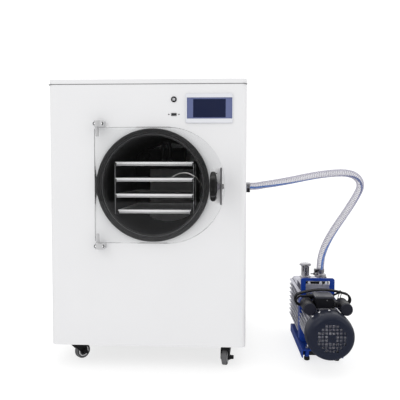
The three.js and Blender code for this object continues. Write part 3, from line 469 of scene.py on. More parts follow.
# %% A finish from those groups
def finish(
    name, colour, roughness, metal=0.0, coat=0.0, grain=0.01, size=1.0, spread=0.05, smudges=0.15, dust=0.1,
    lines=None, specular=0.5, patch=120.0,
):
    """A surface of one stuff. In millimetres: its grain's depth and size and its tone's patches."""
    material, tree, shader = start_material(name)
    skin = placed(tree, GRAIN, Size_mm=size, Patch_mm=patch)
    handled = placed(tree, HANDLED, Smudges=smudges, Dust=dust)
    dark = tuple(c * (1 - spread) for c in colour)
    light = tuple(min(1.0, c * (1 + spread)) for c in colour)
    tone = mixed(tree, handled["Settled"], mixed(tree, skin["Tone"], dark, light), DUST)
    rough = maths(tree, "ADD", maths(tree, "MULTIPLY", skin["Tone"], 0.12), roughness - 0.06)
    for mark, share in (("Smudge", 0.35), ("Settled", 0.5)):
        rough = maths(tree, "ADD", rough, maths(tree, "MULTIPLY", handled[mark], share))
    height = skin["Height"]
    if lines:
        strokes = placed(tree, BRUSHED, Lines=lines)["Height"]
        height = maths(tree, "ADD", height, maths(tree, "MULTIPLY", strokes, 2.0))
    feed(tree, shader, {
        "Base Color": tone, "Roughness": rough, "Normal": relief(tree, height, grain), "Metallic": metal,
        "Coat Weight": coat, "Coat Roughness": 0.08, "Specular IOR Level": specular,
    })
    return material


powder_coat = finish(
    "powder_coat", (0.77, 0.77, 0.78), 0.42, grain=0.02, size=1.6, spread=0.012, smudges=0.1, dust=0.05
)
print("first finish:", powder_coat.name)

# %% Floor
FLOOR_GLOW, FLOOR_REACH = 0.74, 9
DARK_FLOOR = (0.25, 0.25, 0.26)
floor_paper = finish(
    "floor_paper", (0.34, 0.34, 0.34), 0.7, grain=0.0, size=1.2, spread=0.004, smudges=0.0, dust=0.0,
    specular=0.2,
)
tree = floor_paper.node_tree
paper = tree.nodes["Principled BSDF"]
paper_tone = paper.inputs["Base Color"].links[0].from_socket
mirrored = maths(tree, "GREATER_THAN", tree.nodes.new("ShaderNodeLightPath").outputs["Glossy Depth"])
feed(tree, paper, {
    "Base Color": mixed(tree, mirrored, paper_tone, DARK_FLOOR),
    "Emission Color": mixed(tree, mirrored, (1, 1, 1), (0, 0, 0)), "Emission Strength": FLOOR_GLOW,
})
floor_mesh = bpy.data.meshes.new("floor")
floor_corners = [(x * FLOOR_REACH, y * FLOOR_REACH, 0) for x, y in ((-1, -1), (1, -1), (1, 1), (-1, 1))]
floor_mesh.from_pydata(floor_corners, [], [(0, 1, 2, 3)])
floor_mesh.materials.append(floor_paper)
floor = bpy.data.objects.new("floor", floor_mesh)
bpy.context.collection.objects.link(floor)
print("floor in place")

# %% [markdown]
# ## Cords first
# A cord has a fixed length, so it is settled before anything that it passes. Three
# leave the machine's pieces: the clear suction hose, the pump's mains lead, wound as
# a hank over the motor for storage, and the thin lead of the product probe on the
# second shelf. A Bezier curve with a bevel would draw them too, but its length would
# have to be measured back, so they follow points through a curve worked out here. In
# the hank, each turn runs out and back on an arch over the motor.

# %% A smooth curve through points
def smooth_path(points, per_span=4):
    """A centripetal Catmull-Rom curve, which never loops or overshoots between points."""
    points = [Vector(p) for p in points]
    first, last = 2 * points[0] - points[1], 2 * points[-1] - points[-2]
    line = [first, *points, last]
    path = []
    for p0, p1, p2, p3 in zip(line, line[1:], line[2:], line[3:]):
        t1 = max((p1 - p0).length ** 0.5, 1e-6)
        t2 = t1 + max((p2 - p1).length ** 0.5, 1e-6)
        t3 = t2 + max((p3 - p2).length ** 0.5, 1e-6)
        for i in range(per_span):
            t = t1 + (t2 - t1) * i / per_span
            a1 = p0 * (t1 - t) / t1 + p1 * t / t1
            a2 = p1 * (t2 - t) / (t2 - t1) + p2 * (t - t1) / (t2 - t1)
            a3 = p2 * (t3 - t) / (t3 - t2) + p3 * (t - t2) / (t3 - t2)
            b1 = a1 * (t2 - t) / t2 + a2 * t / t2
            b2 = a2 * (t3 - t) / (t3 - t1) + a3 * (t - t1) / (t3 - t1)
            path.append(b1 * (t2 - t) / (t2 - t1) + b2 * (t - t1) / (t2 - t1))
    return [*path, points[-1]]


def path_length(path):
    return sum((b - a).length for a, b in zip(path, path[1:]))


print("a curve through three points has", len(smooth_path([(0, 0, 0), (1, 0, 0), (2, 1, 0)])), "points")

# %% Route of the suction hose
HOSE_RADIUS, HOSE_Y = 12.5, 250
hose_route = [  # as (across, up), all at one depth
    (301.6, 546), (320, 546), (340, 547), (366, 551.5), (396, 556), (430, 562), (466, 569), (504, 577),
    (544, 584.5), (586, 590), (624, 592.5), (649, 590.5), (668, 584.5), (682.5, 573), (690, 557.5),
    (689.5, 541), (683, 525), (670, 501), (653, 473), (635, 445), (616.5, 417), (599, 389), (584, 361),
    (572, 333.5), (564, 306), (561, 282), (560, 260), (560, 252),
]
hose_points = [(x, HOSE_Y, z) for x, z in hose_route]
hose_path = smooth_path(hose_points)
hose_length = path_length(hose_path) * MM
print("suction hose:", round(hose_length, 3), "m")

# %% Route of the probe's lead
PROBE_RADIUS = 1.25
probe_points = [
    (166.2, 70, 555), (158.2, 70, 558), (144.9, 40, 578.5), (138.9, 14, 582.5), (122.9, 26, 590.5),
    (100.9, 44, 591.5), (78.9, 56, 584.5), (60.9, 62, 571.6), (44.9, 64, 570.05),
]
probe_path = smooth_path(probe_points)

# %% The hank's arch over the motor
CORD_RADIUS = 3
ARCH, BEND, REACH = 200, 18, 69  # the arch's radius, the folds' radius, and half of a run
ENDS, RUNS = 8, 5  # points round each end and along each run
motor_low, motor_high = extent("motor_housing")
box_low, box_high = extent("terminal_box")
PUMP_X = (motor_low.x + motor_high.x) / 2
hank_middle = motor_high.z + 0.3 + BEND + CORD_RADIUS


def on_hank(u, v, y):
    """A place on the hank: u along the arch over the motor, v across the two runs."""
    turn = u / ARCH
    return (PUMP_X + (ARCH + v) * sin(turn), y, hank_middle - ARCH + (ARCH + v) * cos(turn))


def hank_turn(first_y):
    """One turn, from the left end down, right along the lower run and back along the upper."""
    half = ENDS // 2
    places = [(-REACH - BEND * cos(pi * i / ENDS), -BEND * sin(pi * i / ENDS)) for i in range(half)]
    places += [(-REACH + 2 * REACH * i / RUNS, -BEND) for i in range(RUNS)]
    places += [(REACH + BEND * sin(pi * i / ENDS), -BEND * cos(pi * i / ENDS)) for i in range(ENDS)]
    places += [(REACH - 2 * REACH * i / RUNS, BEND) for i in range(RUNS)]
    places += [(-REACH - BEND * sin(pi * i / ENDS), BEND * cos(pi * i / ENDS)) for i in range(half)]
    return [on_hank(u, v, first_y + 2 * CORD_RADIUS * i / len(places)) for i, (u, v) in enumerate(places)]


print("the hank stands", round(2 * (BEND + CORD_RADIUS)), "mm high over the motor")

# %% Route of the mains lead
TURNS = 3
LEAD_Y, HANK_Y = 64, 87  # where the lead comes up, and where its first turn lies
gland = Vector((box_low.x, LEAD_Y - 2, box_low.z + 26.5))
lead_in = [tuple(gland), tuple(gland - Vector((9, 0, 0))), tuple(gland - Vector((19, -0.3, 0)))]
for i in range(ENDS):
    turn = pi * i / ENDS
    y = LEAD_Y + (HANK_Y - LEAD_Y) * (1 - cos(turn)) / 2
    lead_in.append(on_hank(-REACH - BEND * sin(turn), BEND * cos(turn), y))
turns = [hank_turn(HANK_Y + 2 * CORD_RADIUS * turn) for turn in range(TURNS + 1)]
hank = [point for turn in turns[:TURNS] for point in turn][ENDS // 2:]
last_turn = turns[TURNS][:ENDS // 2 + RUNS + ENDS + 1]


def eased(share):
    """From 0 to 1 with an even bend in each half."""
    return 2 * share ** 2 if share < 0.5 else 1 - 2 * (1 - share) ** 2


plug_low, plug_high = extent("power_plug")
plug_end = Vector((plug_high.x, (plug_low.y + plug_high.y) / 2, (plug_low.z + plug_high.z) / 2))
ahead = plug_end + Vector((18 - PUMP_X, 0, ARCH - hank_middle))
end_u, end_v = ARCH * atan2(ahead.x, ahead.z), hypot(ahead.x, ahead.z) - ARCH
lead_out = []
for i in range(1, ENDS + 1):
    share = eased(i / ENDS)
    y = last_turn[-1][1] + (plug_end.y - last_turn[-1][1]) * share
    lead_out.append(on_hank(REACH + (end_u - REACH) * i / ENDS, BEND + (end_v - BEND) * share, y))
lead_out += [tuple(plug_end + Vector((8, 0, 0))), tuple(plug_end)]
mains_path = smooth_path([*lead_in, *hank, *last_turn, *lead_out], 3)

# %% [markdown]
# ## The clear suction hose
# Soft clear tubing shows its wall mostly at the two edges, where the line of sight
# runs along it. Real refraction through two thin walls is slow to draw and gains
# nothing here, so the wall is a shell whose alpha grows towards its edges with Layer
# Weight. What one really notices is a milky reinforcing helix inside it, and a blue
# marking line that rolls slowly round the hose.

# %% Clear wall
def clear_wall(name, colour, face_on, edge, roughness):
    """A thin clear wall: `face_on` is its alpha there and `edge` what a grazing view adds."""
    material, tree, shader = start_material(name)
    skin = placed(tree, GRAIN, Size_mm=6.0, Patch_mm=60.0)
    pale = tuple(c * 0.93 for c in colour)
    facing = wired(tree, "ShaderNodeLayerWeight", {"Blend": 0.42}).outputs["Facing"]
    alpha = maths(tree, "ADD", maths(tree, "MULTIPLY", facing, edge), face_on)
    feed(tree, shader, {
        "Base Color": mixed(tree, skin["Tone"], pale, colour), "Alpha": maths(tree, "MINIMUM", alpha, 1.0),
        "Normal": relief(tree, skin["Height"], 0.1), "Roughness": roughness, "Coat Weight": 0.5,
        "Coat Roughness": 0.05,
    })
    return material


hose_wall = clear_wall("hose_wall", (0.46, 0.44, 0.55), 0.26, 0.95, 0.2)
tube = drawn(hose_path, HOSE_RADIUS, 28)
hose = build("suction_hose", [(tube, hose_wall)], "clear_hose", "vacuum_hose", smooth=60)
print("suction hose declared:", round(hose_length, 3), "m")

# %% Milky helix
HELIX_PITCH, WIRE = 6.0, 0.45
helix_turns = hose_length / MM / HELIX_PITCH


def resampled(path, step):
    """The path again as points an equal step apart."""
    out, left = [path[0]], step
    for a, b in zip(path, path[1:]):
        length = (b - a).length
        while left <= length:
            out.append(a + (b - a) * (left / length))
            left += step
        left -= length
    return out


helix_path = carried(
    resampled(hose_path, HELIX_PITCH / 10), lambda share: [(HOSE_RADIUS - 1.6, tau * share * helix_turns)]
)
hose_helix = clear_wall("hose_helix", (0.2, 0.19, 0.26), 0.55, 0.4, 0.3)
helix = build("hose_helix_wire", [(drawn(helix_path, WIRE, 4), hose_helix)], "clear_hose", smooth=60)
print("helix of", round(helix_turns), "turns,", len(helix.data.polygons), "faces")

# %% Blue line, a flat strip on the wall
STRIP_WIDE, STRIP_THICK, STRIP_OUT = 8.0, 0.5, 0.06
ROLL = [(0, -75), (0.36, -14), (0.48, 40), (0.58, 150), (0.72, 192), (0.84, 226), (0.93, 250), (1.001, 258)]


def line_roll(share):
    """The line's place round the hose, from 0 below it and 90 behind it to 180 on its outer side."""
    for (a, low), (b, high) in zip(ROLL, ROLL[1:]):
        if share < b:
            return radians(low + (high - low) * (share - a) / (b - a))


def strip_section(share):
    """Five corners round a share of the hose: three outside and two inside."""
    out, roll = HOSE_RADIUS + STRIP_OUT, line_roll(share)
    half, inner = STRIP_WIDE / out / 2, out - STRIP_THICK
    return [(out, roll - half), (out, roll), (out, roll + half), (inner, roll + half), (inner, roll - half)]


hose_line = finish("hose_line", (0.03, 0.17, 0.56), 0.3, size=1.2, spread=0.15, smudges=0.05, dust=0.0)
strip = skinned(carried(resampled(hose_path, 6), strip_section, (0, 0, -1)), 5)
build("hose_blue_line", [(strip, hose_line)], "clear_hose", smooth=60)
print("blue line,", STRIP_WIDE, "mm wide")

# %% [markdown]
# ## The probe's lead and the wound mains lead
# Both are round and even, so a drawn wire is all that they need. The mains lead gets
# a ribbed strain relief at the terminal box and another at its plug, because a lead
# never leaves a housing without one, and a tie holds the hank together.

# %% Probe lead with its sensor tip
probe_sleeve = finish("probe_sleeve", (0.82, 0.81, 0.79), 0.5, size=0.5)
probe_steel = finish("probe_steel", (0.6, 0.6, 0.6), 0.22, metal=1.0, grain=0.003, size=0.5)
wire = drawn(probe_path, PROBE_RADIUS, 10)
lead = build("probe_lead", [(wire, probe_sleeve)], "probe_insulation", "probe_cable", smooth=60)
tip_profile = [(0, -17), (1.1, -15.5), (1.3, -14), (1.3, -1), (1.6, 0), (1.6, 3), (0, 3)]
tip = build("probe_tip", [(turned("x", probe_path[-1], tip_profile, 16), probe_steel)], "stainless_steel")

# %% Mains lead and its strain reliefs
cord_rubber = finish("cord_rubber", (0.006, 0.006, 0.009), 0.5, size=0.8, dust=0.08, specular=0.3)
plug_plastic = finish("plug_plastic", (0.008, 0.008, 0.011), 0.42, grain=0.02, size=0.5, specular=0.35)
wire = drawn(mains_path, CORD_RADIUS, 10)
mains = build("mains_lead", [(wire, cord_rubber)], "black_rubber", "power_cord", smooth=60)
RELIEF_LONG, RIBS, GROOVE = 20, 5, 0.9


def ribbed_sleeve(start, direction, wide, narrow):
    """A tapered strain relief with grooves, as a profile turned about X."""
    profile = [(0, 0)]
    for i in range(RIBS):
        radius = wide + (narrow - wide) * i / RIBS
        a, b, end = [RELIEF_LONG * (i + share) / RIBS for share in (0, 0.62, 1)]
        profile += [(radius, a), (radius, b), (radius - GROOVE, b + 0.3), (radius - GROOVE, end - 0.3)]
    profile += [(narrow, RELIEF_LONG), (0, RELIEF_LONG)]
    return turned("x", start, [(radius, direction * a) for radius, a in profile], 20)


gland_sleeve = ribbed_sleeve(gland + Vector((2, 0, 0)), -1, 5.2, 3.6)
plug_sleeve = ribbed_sleeve(plug_end - Vector((1, 0, 0)), 1, 6.0, 3.7)
gland_relief = build("gland_strain_relief", [(gland_sleeve, cord_rubber)], "black_rubber")
plug_relief = build("plug_strain_relief", [(plug_sleeve, plug_plastic)], "black_plastic")
print("mains lead and two strain reliefs")

# %% Plug with two sleeved pins
PIN_APART, GRIP_LONG = 7, 44
nickel_pin = finish("nickel_pin", (0.72, 0.7, 0.66), 0.2, metal=1.0, grain=0.003, size=0.4)
plug_face = plug_high.x - GRIP_LONG
grip_profile = [
    (0, -GRIP_LONG), (10.2, -GRIP_LONG), (10.8, -42), (10.8, -34), (9.6, -30), (9.0, -18), (9.8, -8),
    (8.2, -2), (6.4, 0), (0, 0),
]
flange = slab(plug_face, plug_face + 9, plug_end.y - 11.8, plug_end.y + 11.8, plug_end.z - 8, plug_end.z + 8)
grip = made_of(plug_plastic, turned("x", plug_end, grip_profile, 28), flange)
for side in (-PIN_APART, PIN_APART):
    foot = (plug_face, plug_end.y + side, plug_end.z)
    pin = [(0, -19), (1.7, -19), (2.4, -17.5), (2.4, 1), (0, 1)]
    sleeve = [(0, -9), (2.35, -9), (2.6, -8.6), (2.6, 1), (0, 1)]
    grip += [(turned("x", foot, pin, 20), nickel_pin), (turned("x", foot, sleeve, 20), plug_plastic)]
plug = build("mains_plug", grip, "black_plastic", "power_plug", bevel=0.5)
print("plug:", round(plug_high.x - plug_low.x), "mm long")

# %% Tie round the hank
TIE_U, TIE_V, TIE_FRONT, TIE_BACK = 52, 21.6, 83.4, 108.2
tie_corners = [(TIE_FRONT, -TIE_V), (TIE_BACK, -TIE_V), (TIE_BACK, TIE_V), (TIE_FRONT, TIE_V)]
tie_parts = []
for (y0, v0), (y1, v1) in zip(tie_corners, tie_corners[1:] + tie_corners[:1]):
    a, b = Vector(on_hank(TIE_U, v0, y0)), Vector(on_hank(TIE_U, v1, y1))
    tie_parts.append((drawn([a, (a + b) / 2, b], 1.3, 8), plug_plastic))
tie = build("hank_tie", tie_parts, "black_plastic", smooth=60)

# %% [markdown]
# ## Sheet metal: the cabinet
# The cabinet is folded from 2 mm steel and powder coated. The solids already have the
# folds, the round corners and the vents, but their edges are razor sharp, and no real
# sheet is. Each one is copied, its doubled corners are merged and its flat triangles
# joined, and a Bevel modifier then rounds what is left: the edges catch a fine line
# of light. The same is done wherever a solid's own shape is right.

# %% A finer copy of a solid
def refined(name, node, material, slot, bevel, segments=2):
    """A copy of a solid whose edges are rounded by a bevel, in millimetres."""
    shape = bmesh.new()
    shape.from_mesh(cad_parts[node].data)
    bmesh.ops.remove_doubles(shape, verts=shape.verts, dist=0.01 * MM)
    bmesh.ops.dissolve_limit(shape, angle_limit=radians(1), verts=shape.verts, edges=shape.edges)
    mesh = bpy.data.meshes.new(name)
    shape.to_mesh(mesh)
    shape.free()
    mesh.materials.clear()
    return carry(dressed(name, mesh, [material], bevel, segments=segments), "machine", slot, node)


zinc = finish("zinc_plate", (0.52, 0.53, 0.54), 0.38, metal=1.0, size=5.0, spread=0.12, patch=14.0)
SHEET_EDGES = {
    "front_panel": 0.7, "side_panel_left": 0.6, "side_panel_right": 0.6, "rear_panel": 0.5, "top_lid": 1.4,
}
for node, edge in SHEET_EDGES.items():
    refined("painted_" + node, node, powder_coat, "cabinet_paint", edge, segments=3)
print("cabinet sheets:", len(SHEET_EDGES))

# %% Seal in the seam under the lid, which also paints the seam's shade, and the base tray
# The dark grey strip is partly a seal and partly painted shade along the seam under the lid.
seal_and_seam_shade = finish("seal_and_seam_shade", (0.16, 0.16, 0.165), 0.5, specular=0.3)
shell_low, shell_high = extent("front_panel", "rear_panel")
seal_y, seal_z = (4, shell_high.y - 4), (shell_high.z - 1.2, shell_high.z + 0.8)
seal = made_of(
    seal_and_seam_shade,
    slab(shell_low.x + 4, shell_high.x - 4, shell_low.y - 0.5, shell_low.y + 3, *seal_z),
    slab(shell_low.x - 0.5, shell_low.x + 3, *seal_y, *seal_z),
    slab(shell_high.x - 3, shell_high.x + 0.5, *seal_y, *seal_z),
)
build("lid_seal", seal, "black_rubber")
refined("base_tray", "base_frame", zinc, "zinc_steel", 0.5)
print("lid seal on", len(seal), "sides")

# %% [markdown]
# ## Fasteners by rule
# The same small screw comes back dozens of times. One Geometry Nodes tree puts a
# template on every point of a mesh, turned to face along the point's own `facing`
# attribute and spun by a seeded random angle, because no two screws on a real machine
# stop at the same angle. The result is realised and made a plain mesh. Linked copies
# of an object would do for a few screws, but each would have to be turned by itself.

# %% A tree that puts a fitting on each point
def geometry_tree(name, inputs):
    inputs = [("Geometry", "Geometry", None), *inputs, ("Finish", "Material", None)]
    return new_tree(name, "GeometryNodeTree", inputs, [("Geometry", "Geometry")])


def ended(tree, given, made, geometry):
    """Realises the instances, gives them the finish and ends the tree."""
    real = wired(tree, "GeometryNodeRealizeInstances", {"Geometry": geometry})
    inputs = {"Geometry": real.outputs[0], "Material": given["Finish"]}
    dress = wired(tree, "GeometryNodeSetMaterial", inputs)
    feed(tree, made, {0: dress.outputs[0]})
    return tree


def fittings_tree():
    tree, given, made = geometry_tree("Fittings on Points", [
        ("Fitting", "Object", None), ("Spin", "Float", 0.0), ("Seed", "Int", 3),
    ])
    facing = wired(tree, "GeometryNodeInputNamedAttribute", {"Name": "facing"}, data_type="FLOAT_VECTOR")
    aimed = wired(tree, "FunctionNodeAlignRotationToVector", {"Vector": facing.outputs[0]}, axis="Z")
    draw = wired(tree, "FunctionNodeRandomValue", {2: 0.0, 3: given["Spin"], "Seed": given["Seed"]})
    about = wired(tree, "FunctionNodeAxisAngleToRotation", {"Axis": (0, 0, 1), "Angle": draw.outputs[1]})
    both = {0: aimed.outputs[0], 1: about.outputs[0]}
    spun = wired(tree, "FunctionNodeRotateRotation", both, rotation_space="LOCAL")
    fitting = wired(tree, "GeometryNodeObjectInfo", {"Object": given["Fitting"]})
    spread = wired(tree, "GeometryNodeInstanceOnPoints", {
        "Points": given["Geometry"], "Instance": fitting.outputs["Geometry"], "Rotation": spun.outputs[0],
    })
    return ended(tree, given, made, spread.outputs[0])


FITTINGS = fittings_tree()
print("tree:", FITTINGS.name)

# %% Let a tree grow a plain mesh
def grown(name, host, tree, **values):
    """The plain mesh that a tree makes from a host mesh, as a new piece."""
    seed = bpy.data.objects.new(name, host)
    rule = seed.modifiers.new("rule", "NODES")
    rule.node_group = tree
    for item in tree.interface.items_tree:
        if item.in_out == "INPUT" and item.name in values:
            rule[item.identifier] = values[item.name]
    bpy.context.collection.objects.link(seed)
    graph = bpy.context.evaluated_depsgraph_get()
    mesh = bpy.data.meshes.new_from_object(seed.evaluated_get(graph))
    seed.modifiers.remove(rule)
    bpy.data.objects.remove(seed)
    mesh.name = name
    return dressed(name, mesh, [])


def spots(name, places):
    """A mesh of bare points, in millimetres, each with the direction that it faces."""
    mesh = bpy.data.meshes.new(name)
    mesh.from_pydata([at(*place) for place, _ in places], [], [])
    facing = mesh.attributes.new("facing", "FLOAT_VECTOR", "POINT")
    for i, (_, direction) in enumerate(places):
        facing.data[i].vector = direction
    return mesh


print("grown and spots are ready")

# %% Templates: cross-head screws and a socket screw
def screw_head(name, radius, high, cross=True):
    """A pan head, kept out of the scene for a tree to copy, with a cross or a round hollow."""
    sides, hollow = 24, []
    for i in range(sides):
        turn = tau * i / sides
        reach = radius * (0.2 + 0.36 * abs(cos(2 * turn)) ** 3 if cross else 0.46)
        hollow.append((reach * cos(turn), reach * sin(turn)))
    base, rim, crown = [circle(radius * share, sides) for share in (0.96, 1, 0.78)]
    rings = [(-0.3, base), (high * 0.4, rim), (high, crown), (high, hollow), (high * 0.3, hollow)]
    head = lofted("z", (0, 0, 0), rings)
    mesh, _ = solid_mesh(name, [(head, None)], lambda x, y, z: Vector((x, y, z)) * MM)
    return bpy.data.objects.new(name, mesh)


cross_screw = screw_head("cross_screw", 3.2, 1.9)
small_screw = screw_head("small_screw", 1.9, 1.2)
socket_screw = screw_head("socket_screw", 4.2, 4.0, cross=False)
screw_steel = finish("screw_steel", (0.66, 0.66, 0.65), 0.26, metal=1.0, grain=0.004, size=0.8, spread=0.06)
black_oxide = finish("black_oxide", (0.03, 0.03, 0.032), 0.4, metal=0.6, grain=0.006, size=0.6)
BACK, LEFT, RIGHT, FRONT, UP = (0, 1, 0), (-1, 0, 0), (1, 0, 0), (0, -1, 0), (0, 0, 1)


def screws(name, fitting, material, places, body="machine", slot="zinc_steel"):
    """Screws at (place, direction) pairs, each spun to its own angle."""
    carry(grown(name, spots(name, places), FITTINGS, Fitting=fitting, Spin=tau, Finish=material), body, slot)


print("three screws to copy")

# %% Screws of the rear and side panels
SCREW_ROWS = (84, 840)
rear_places = [((x, DEPTH, z), BACK) for x in (-280, -95, 95, 280) for z in SCREW_ROWS]
rear_places += [((x, DEPTH, z), BACK) for x in (-280, 280) for z in (270, 460, 650)]
screws("rear_panel_screws", cross_screw, screw_steel, rear_places)
for x, direction, name in ((-HALF_WIDTH, LEFT, "left"), (HALF_WIDTH, RIGHT, "right")):
    places = [((x, y, z), direction) for y in (60, 335, 610) for z in SCREW_ROWS]
    screws(f"{name}_panel_screws", cross_screw, screw_steel, places)
print("rear and side screws:", len(rear_places) + 2 * len(places))

# %% Vent hoods over the slots
LOUVRE_COUNT, LOUVRE_PITCH, LOUVRE_LOW, LOUVRE_WIDE = 9, 14, 110, 150
CONDENSER_LOW, CONDENSER_HIGH = extent("condenser")
rear_vent = (CONDENSER_LOW.x + CONDENSER_HIGH.x) / 2
side_vent = CONDENSER_LOW.y + 12 - 120
HOOD = [(-0.4, 8.6), (-0.4, 5.2), (0.4, 5.2), (2.6, 1.2), (3.0, 1.8), (1.0, 6.4), (1.0, 8.6)]


def hoods(name, along, centre, start, outward):
    """A pressed hood above each slot: `outward` is the side of the sheet that it stands on."""
    parts = []
    for i in range(LOUVRE_COUNT):
        z = LOUVRE_LOW + LOUVRE_PITCH * i
        outline = [(start + outward * out, z + up) for out, up in HOOD]
        hood = pushed(along, outline, centre - LOUVRE_WIDE / 2, centre + LOUVRE_WIDE / 2)
        parts.append((hood, powder_coat))
    build(name, parts, "cabinet_paint", bevel=0.3)


hoods("rear_vent_hoods", "x", rear_vent, DEPTH, 1)
hoods("left_vent_hoods", "y", side_vent, -HALF_WIDTH, -1)
hoods("right_vent_hoods", "y", side_vent, HALF_WIDTH, 1)
print("vent hoods:", 3 * LOUVRE_COUNT)

# %% [markdown]
# ## The vacuum chamber
# The drum is a rolled and welded can with a heavy front rim. The door seals on a
# rubber gasket of U section that is pushed over this rim, and the bright edge of the
# steel shows as a thin ring in its groove. Subdivision would soften the lips, so all
# of it is turned: each piece is one profile swept round 128 sides, which stays round
# in a close look. Inside, a near-black liner paints the shade on the steel walls, and
# a pale plate at the back paints the light that falls on the back wall.

# %% Drum, with a liner in painted shade and a back plate in painted light
drum_low, drum_high = extent("vacuum_drum")
DRUM_X, DRUM_Z = (drum_low.x + drum_high.x) / 2, (drum_low.z + drum_high.z) / 2
DRUM_OUT = (drum_high.x - drum_low.x) / 2
DRUM_IN, DRUM_RIM, DRUM_BACK = DRUM_OUT - 3, drum_low.y, drum_high.y
FINE, SKIN, END_PLATE = 128, 1.5, 4
drum_centre = (DRUM_X, 0, DRUM_Z)
brushed_steel = finish("brushed_steel", (0.6, 0.6, 0.61), 0.3, metal=1.0, grain=0.012, lines=(12, 700, 700))
# The liner's near-black is painted shade on the steel walls inside, and the back plate's pale grey is
# painted light on the back wall.
painted_shade_liner = finish("painted_shade_liner", (0.04, 0.04, 0.041), 0.5, size=2.0, spread=0.3, dust=0.0, specular=0.12)
painted_light_back = finish("painted_light_back", (0.85, 0.85, 0.86), 0.5, size=2.0, spread=0.1, dust=0.0, specular=0.2)
lining, end = DRUM_IN + SKIN, DRUM_BACK - END_PLATE
shell = [
    (0, DRUM_BACK), (DRUM_OUT, DRUM_BACK), (DRUM_OUT, DRUM_RIM), (lining, DRUM_RIM), (lining, end), (0, end)
]
liner = [(0, end), (lining, end), (lining, DRUM_RIM), (DRUM_IN, DRUM_RIM), (DRUM_IN, end - 1), (0, end - 1)]
CHORD, CHORD_STEPS = radians(118), 24  # the plate ends in a straight cut beside the vent valve
back_plate = []
for i in range(2 * CHORD_STEPS + 1):
    turn = CHORD * (i / CHORD_STEPS - 1)
    back_plate.append((DRUM_X + (DRUM_IN - 2) * cos(turn), DRUM_Z + (DRUM_IN - 2) * sin(turn)))
build("chamber_drum", [
    (turned("y", drum_centre, shell, FINE), brushed_steel),
    (turned("y", drum_centre, liner, FINE), painted_shade_liner),
    (pushed("y", back_plate, end - 3, end - 1.2), painted_light_back),
], "stainless_steel", "vacuum_drum")
print("drum:", round(2 * DRUM_IN), "mm inside")

# %% Rim and gasket
gasket_low, gasket_high = extent("door_gasket")
GASKET_OUT, GASKET_FACE = (gasket_high.x - gasket_low.x) / 2, gasket_low.y
rim_steel = finish(
    "rim_steel", (0.22, 0.22, 0.225), 0.4, metal=0.8, grain=0.004, size=0.8, lines=(400, 60, 400)
)
gasket_rubber = finish(
    "gasket_rubber", (0.028, 0.028, 0.029), 0.45, grain=0.012, size=0.9, spread=0.2, dust=0.05,
    specular=0.35,
)
rim_in, rim_out, rim_back, rim_front = DRUM_IN + 0.6, DRUM_IN + 2.4, DRUM_RIM + 2, GASKET_FACE + 0.9
rim = [(rim_in, rim_back), (rim_out, rim_back), (rim_out, rim_front), (rim_in, rim_front)]
build("chamber_rim", [(turned("y", drum_centre, rim, FINE), rim_steel)], "stainless_steel", bevel=0.3)
G, face = GASKET_OUT, GASKET_FACE
outer_lip = [
    (DRUM_OUT + 0.3, -0.3), (G, -0.3), (G, face + 2.2), (G - 1.8, face), (G - 7.4, face),
    (G - 8.4, face + 1.4), (G - 9.8, face + 1.4), (G - 10.8, face + 0.2), (DRUM_OUT + 1.2, face + 0.2),
    (DRUM_OUT + 0.3, face + 1.4),
]
inner_lip = [
    (DRUM_IN + 0.4, DRUM_RIM - 0.3), (DRUM_IN + 0.4, face + 1.6), (DRUM_IN - 0.4, face + 0.4),
    (DRUM_IN - 2.4, face + 0.4), (DRUM_IN - 3, face + 1.4), (DRUM_IN - 3, DRUM_RIM - 0.3),
]
lips = [turned("y", drum_centre, lip, FINE) for lip in (outer_lip, inner_lip)]
build("door_seal", made_of(gasket_rubber, *lips), "black_rubber", "door_gasket", bevel=0.5, segments=3)
print("seal:", round(2 * GASKET_OUT), "mm across")

# %% [markdown]
# ## Rack, heated shelves and trays
# Each level is three real pieces: the rack's ledges, a heated plate with a bar along
# its front, and a shallow aluminium tray with a rolled rim. The four levels differ
# only in height and width, so a loop makes them from the boxes of their solids. An
# array would need equal levels, and the lowest one is narrower.

# %% Rack
rack_steel = finish("rack_steel", (0.04, 0.04, 0.042), 0.5, metal=0.3, spread=0.08, specular=0.3)
satin_edge = finish("satin_edge", (0.4, 0.4, 0.41), 0.4, metal=0.4, spread=0.08)
refined("rack_frame", "shelf_rack", rack_steel, "stainless_steel", 0.25)
rack_low, rack_high = extent("shelf_rack")
TOP_SHELF, front = 618, rack_low.y
build("rack_front_edges", made_of(
    satin_edge,
    slab(rack_low.x, rack_low.x + 1.5, front - 0.4, front + 2, rack_low.z, TOP_SHELF),
    slab(rack_high.x - 1.5, rack_high.x, front - 0.4, front + 2, rack_low.z, TOP_SHELF),
    slab(rack_high.x + 4.4, rack_high.x + 5.6, front + 8, front + 10, rack_low.z + 26, TOP_SHELF),
), "stainless_steel", bevel=0.2)
print("rack:", [round(v) for v in rack_high - rack_low])

# %% Four heated shelves with their trays
# Near-white and barely metallic: the aluminium's own light grey, brightened with painted sheen in place of
# the reflection a metal would show.
tray_painted_sheen = finish(
    "tray_painted_sheen", (0.97, 0.97, 0.97), 0.4, metal=0.1, grain=0.015, size=1.2, spread=0.04,
    lines=(30, 500, 500),
)
plate_metal = finish("plate_metal", (0.55, 0.55, 0.56), 0.45, metal=0.3, spread=0.06)
shelf_plastic = finish("shelf_plastic", (0.01, 0.01, 0.012), 0.45, size=0.6, specular=0.3)


def open_box(x0, x1, y0, y1, z0, z1, wall, base):
    """A tray as five slabs that meet edge to edge: a floor and four walls."""
    return [
        slab(x0, x1, y0, y1, z0, z0 + base),
        slab(x0, x1, y0, y0 + wall, z0, z1), slab(x0, x1, y1 - wall, y1, z0, z1),
        slab(x0, x0 + wall, y0, y1, z0, z1), slab(x1 - wall, x1, y0, y1, z0, z1),
    ]


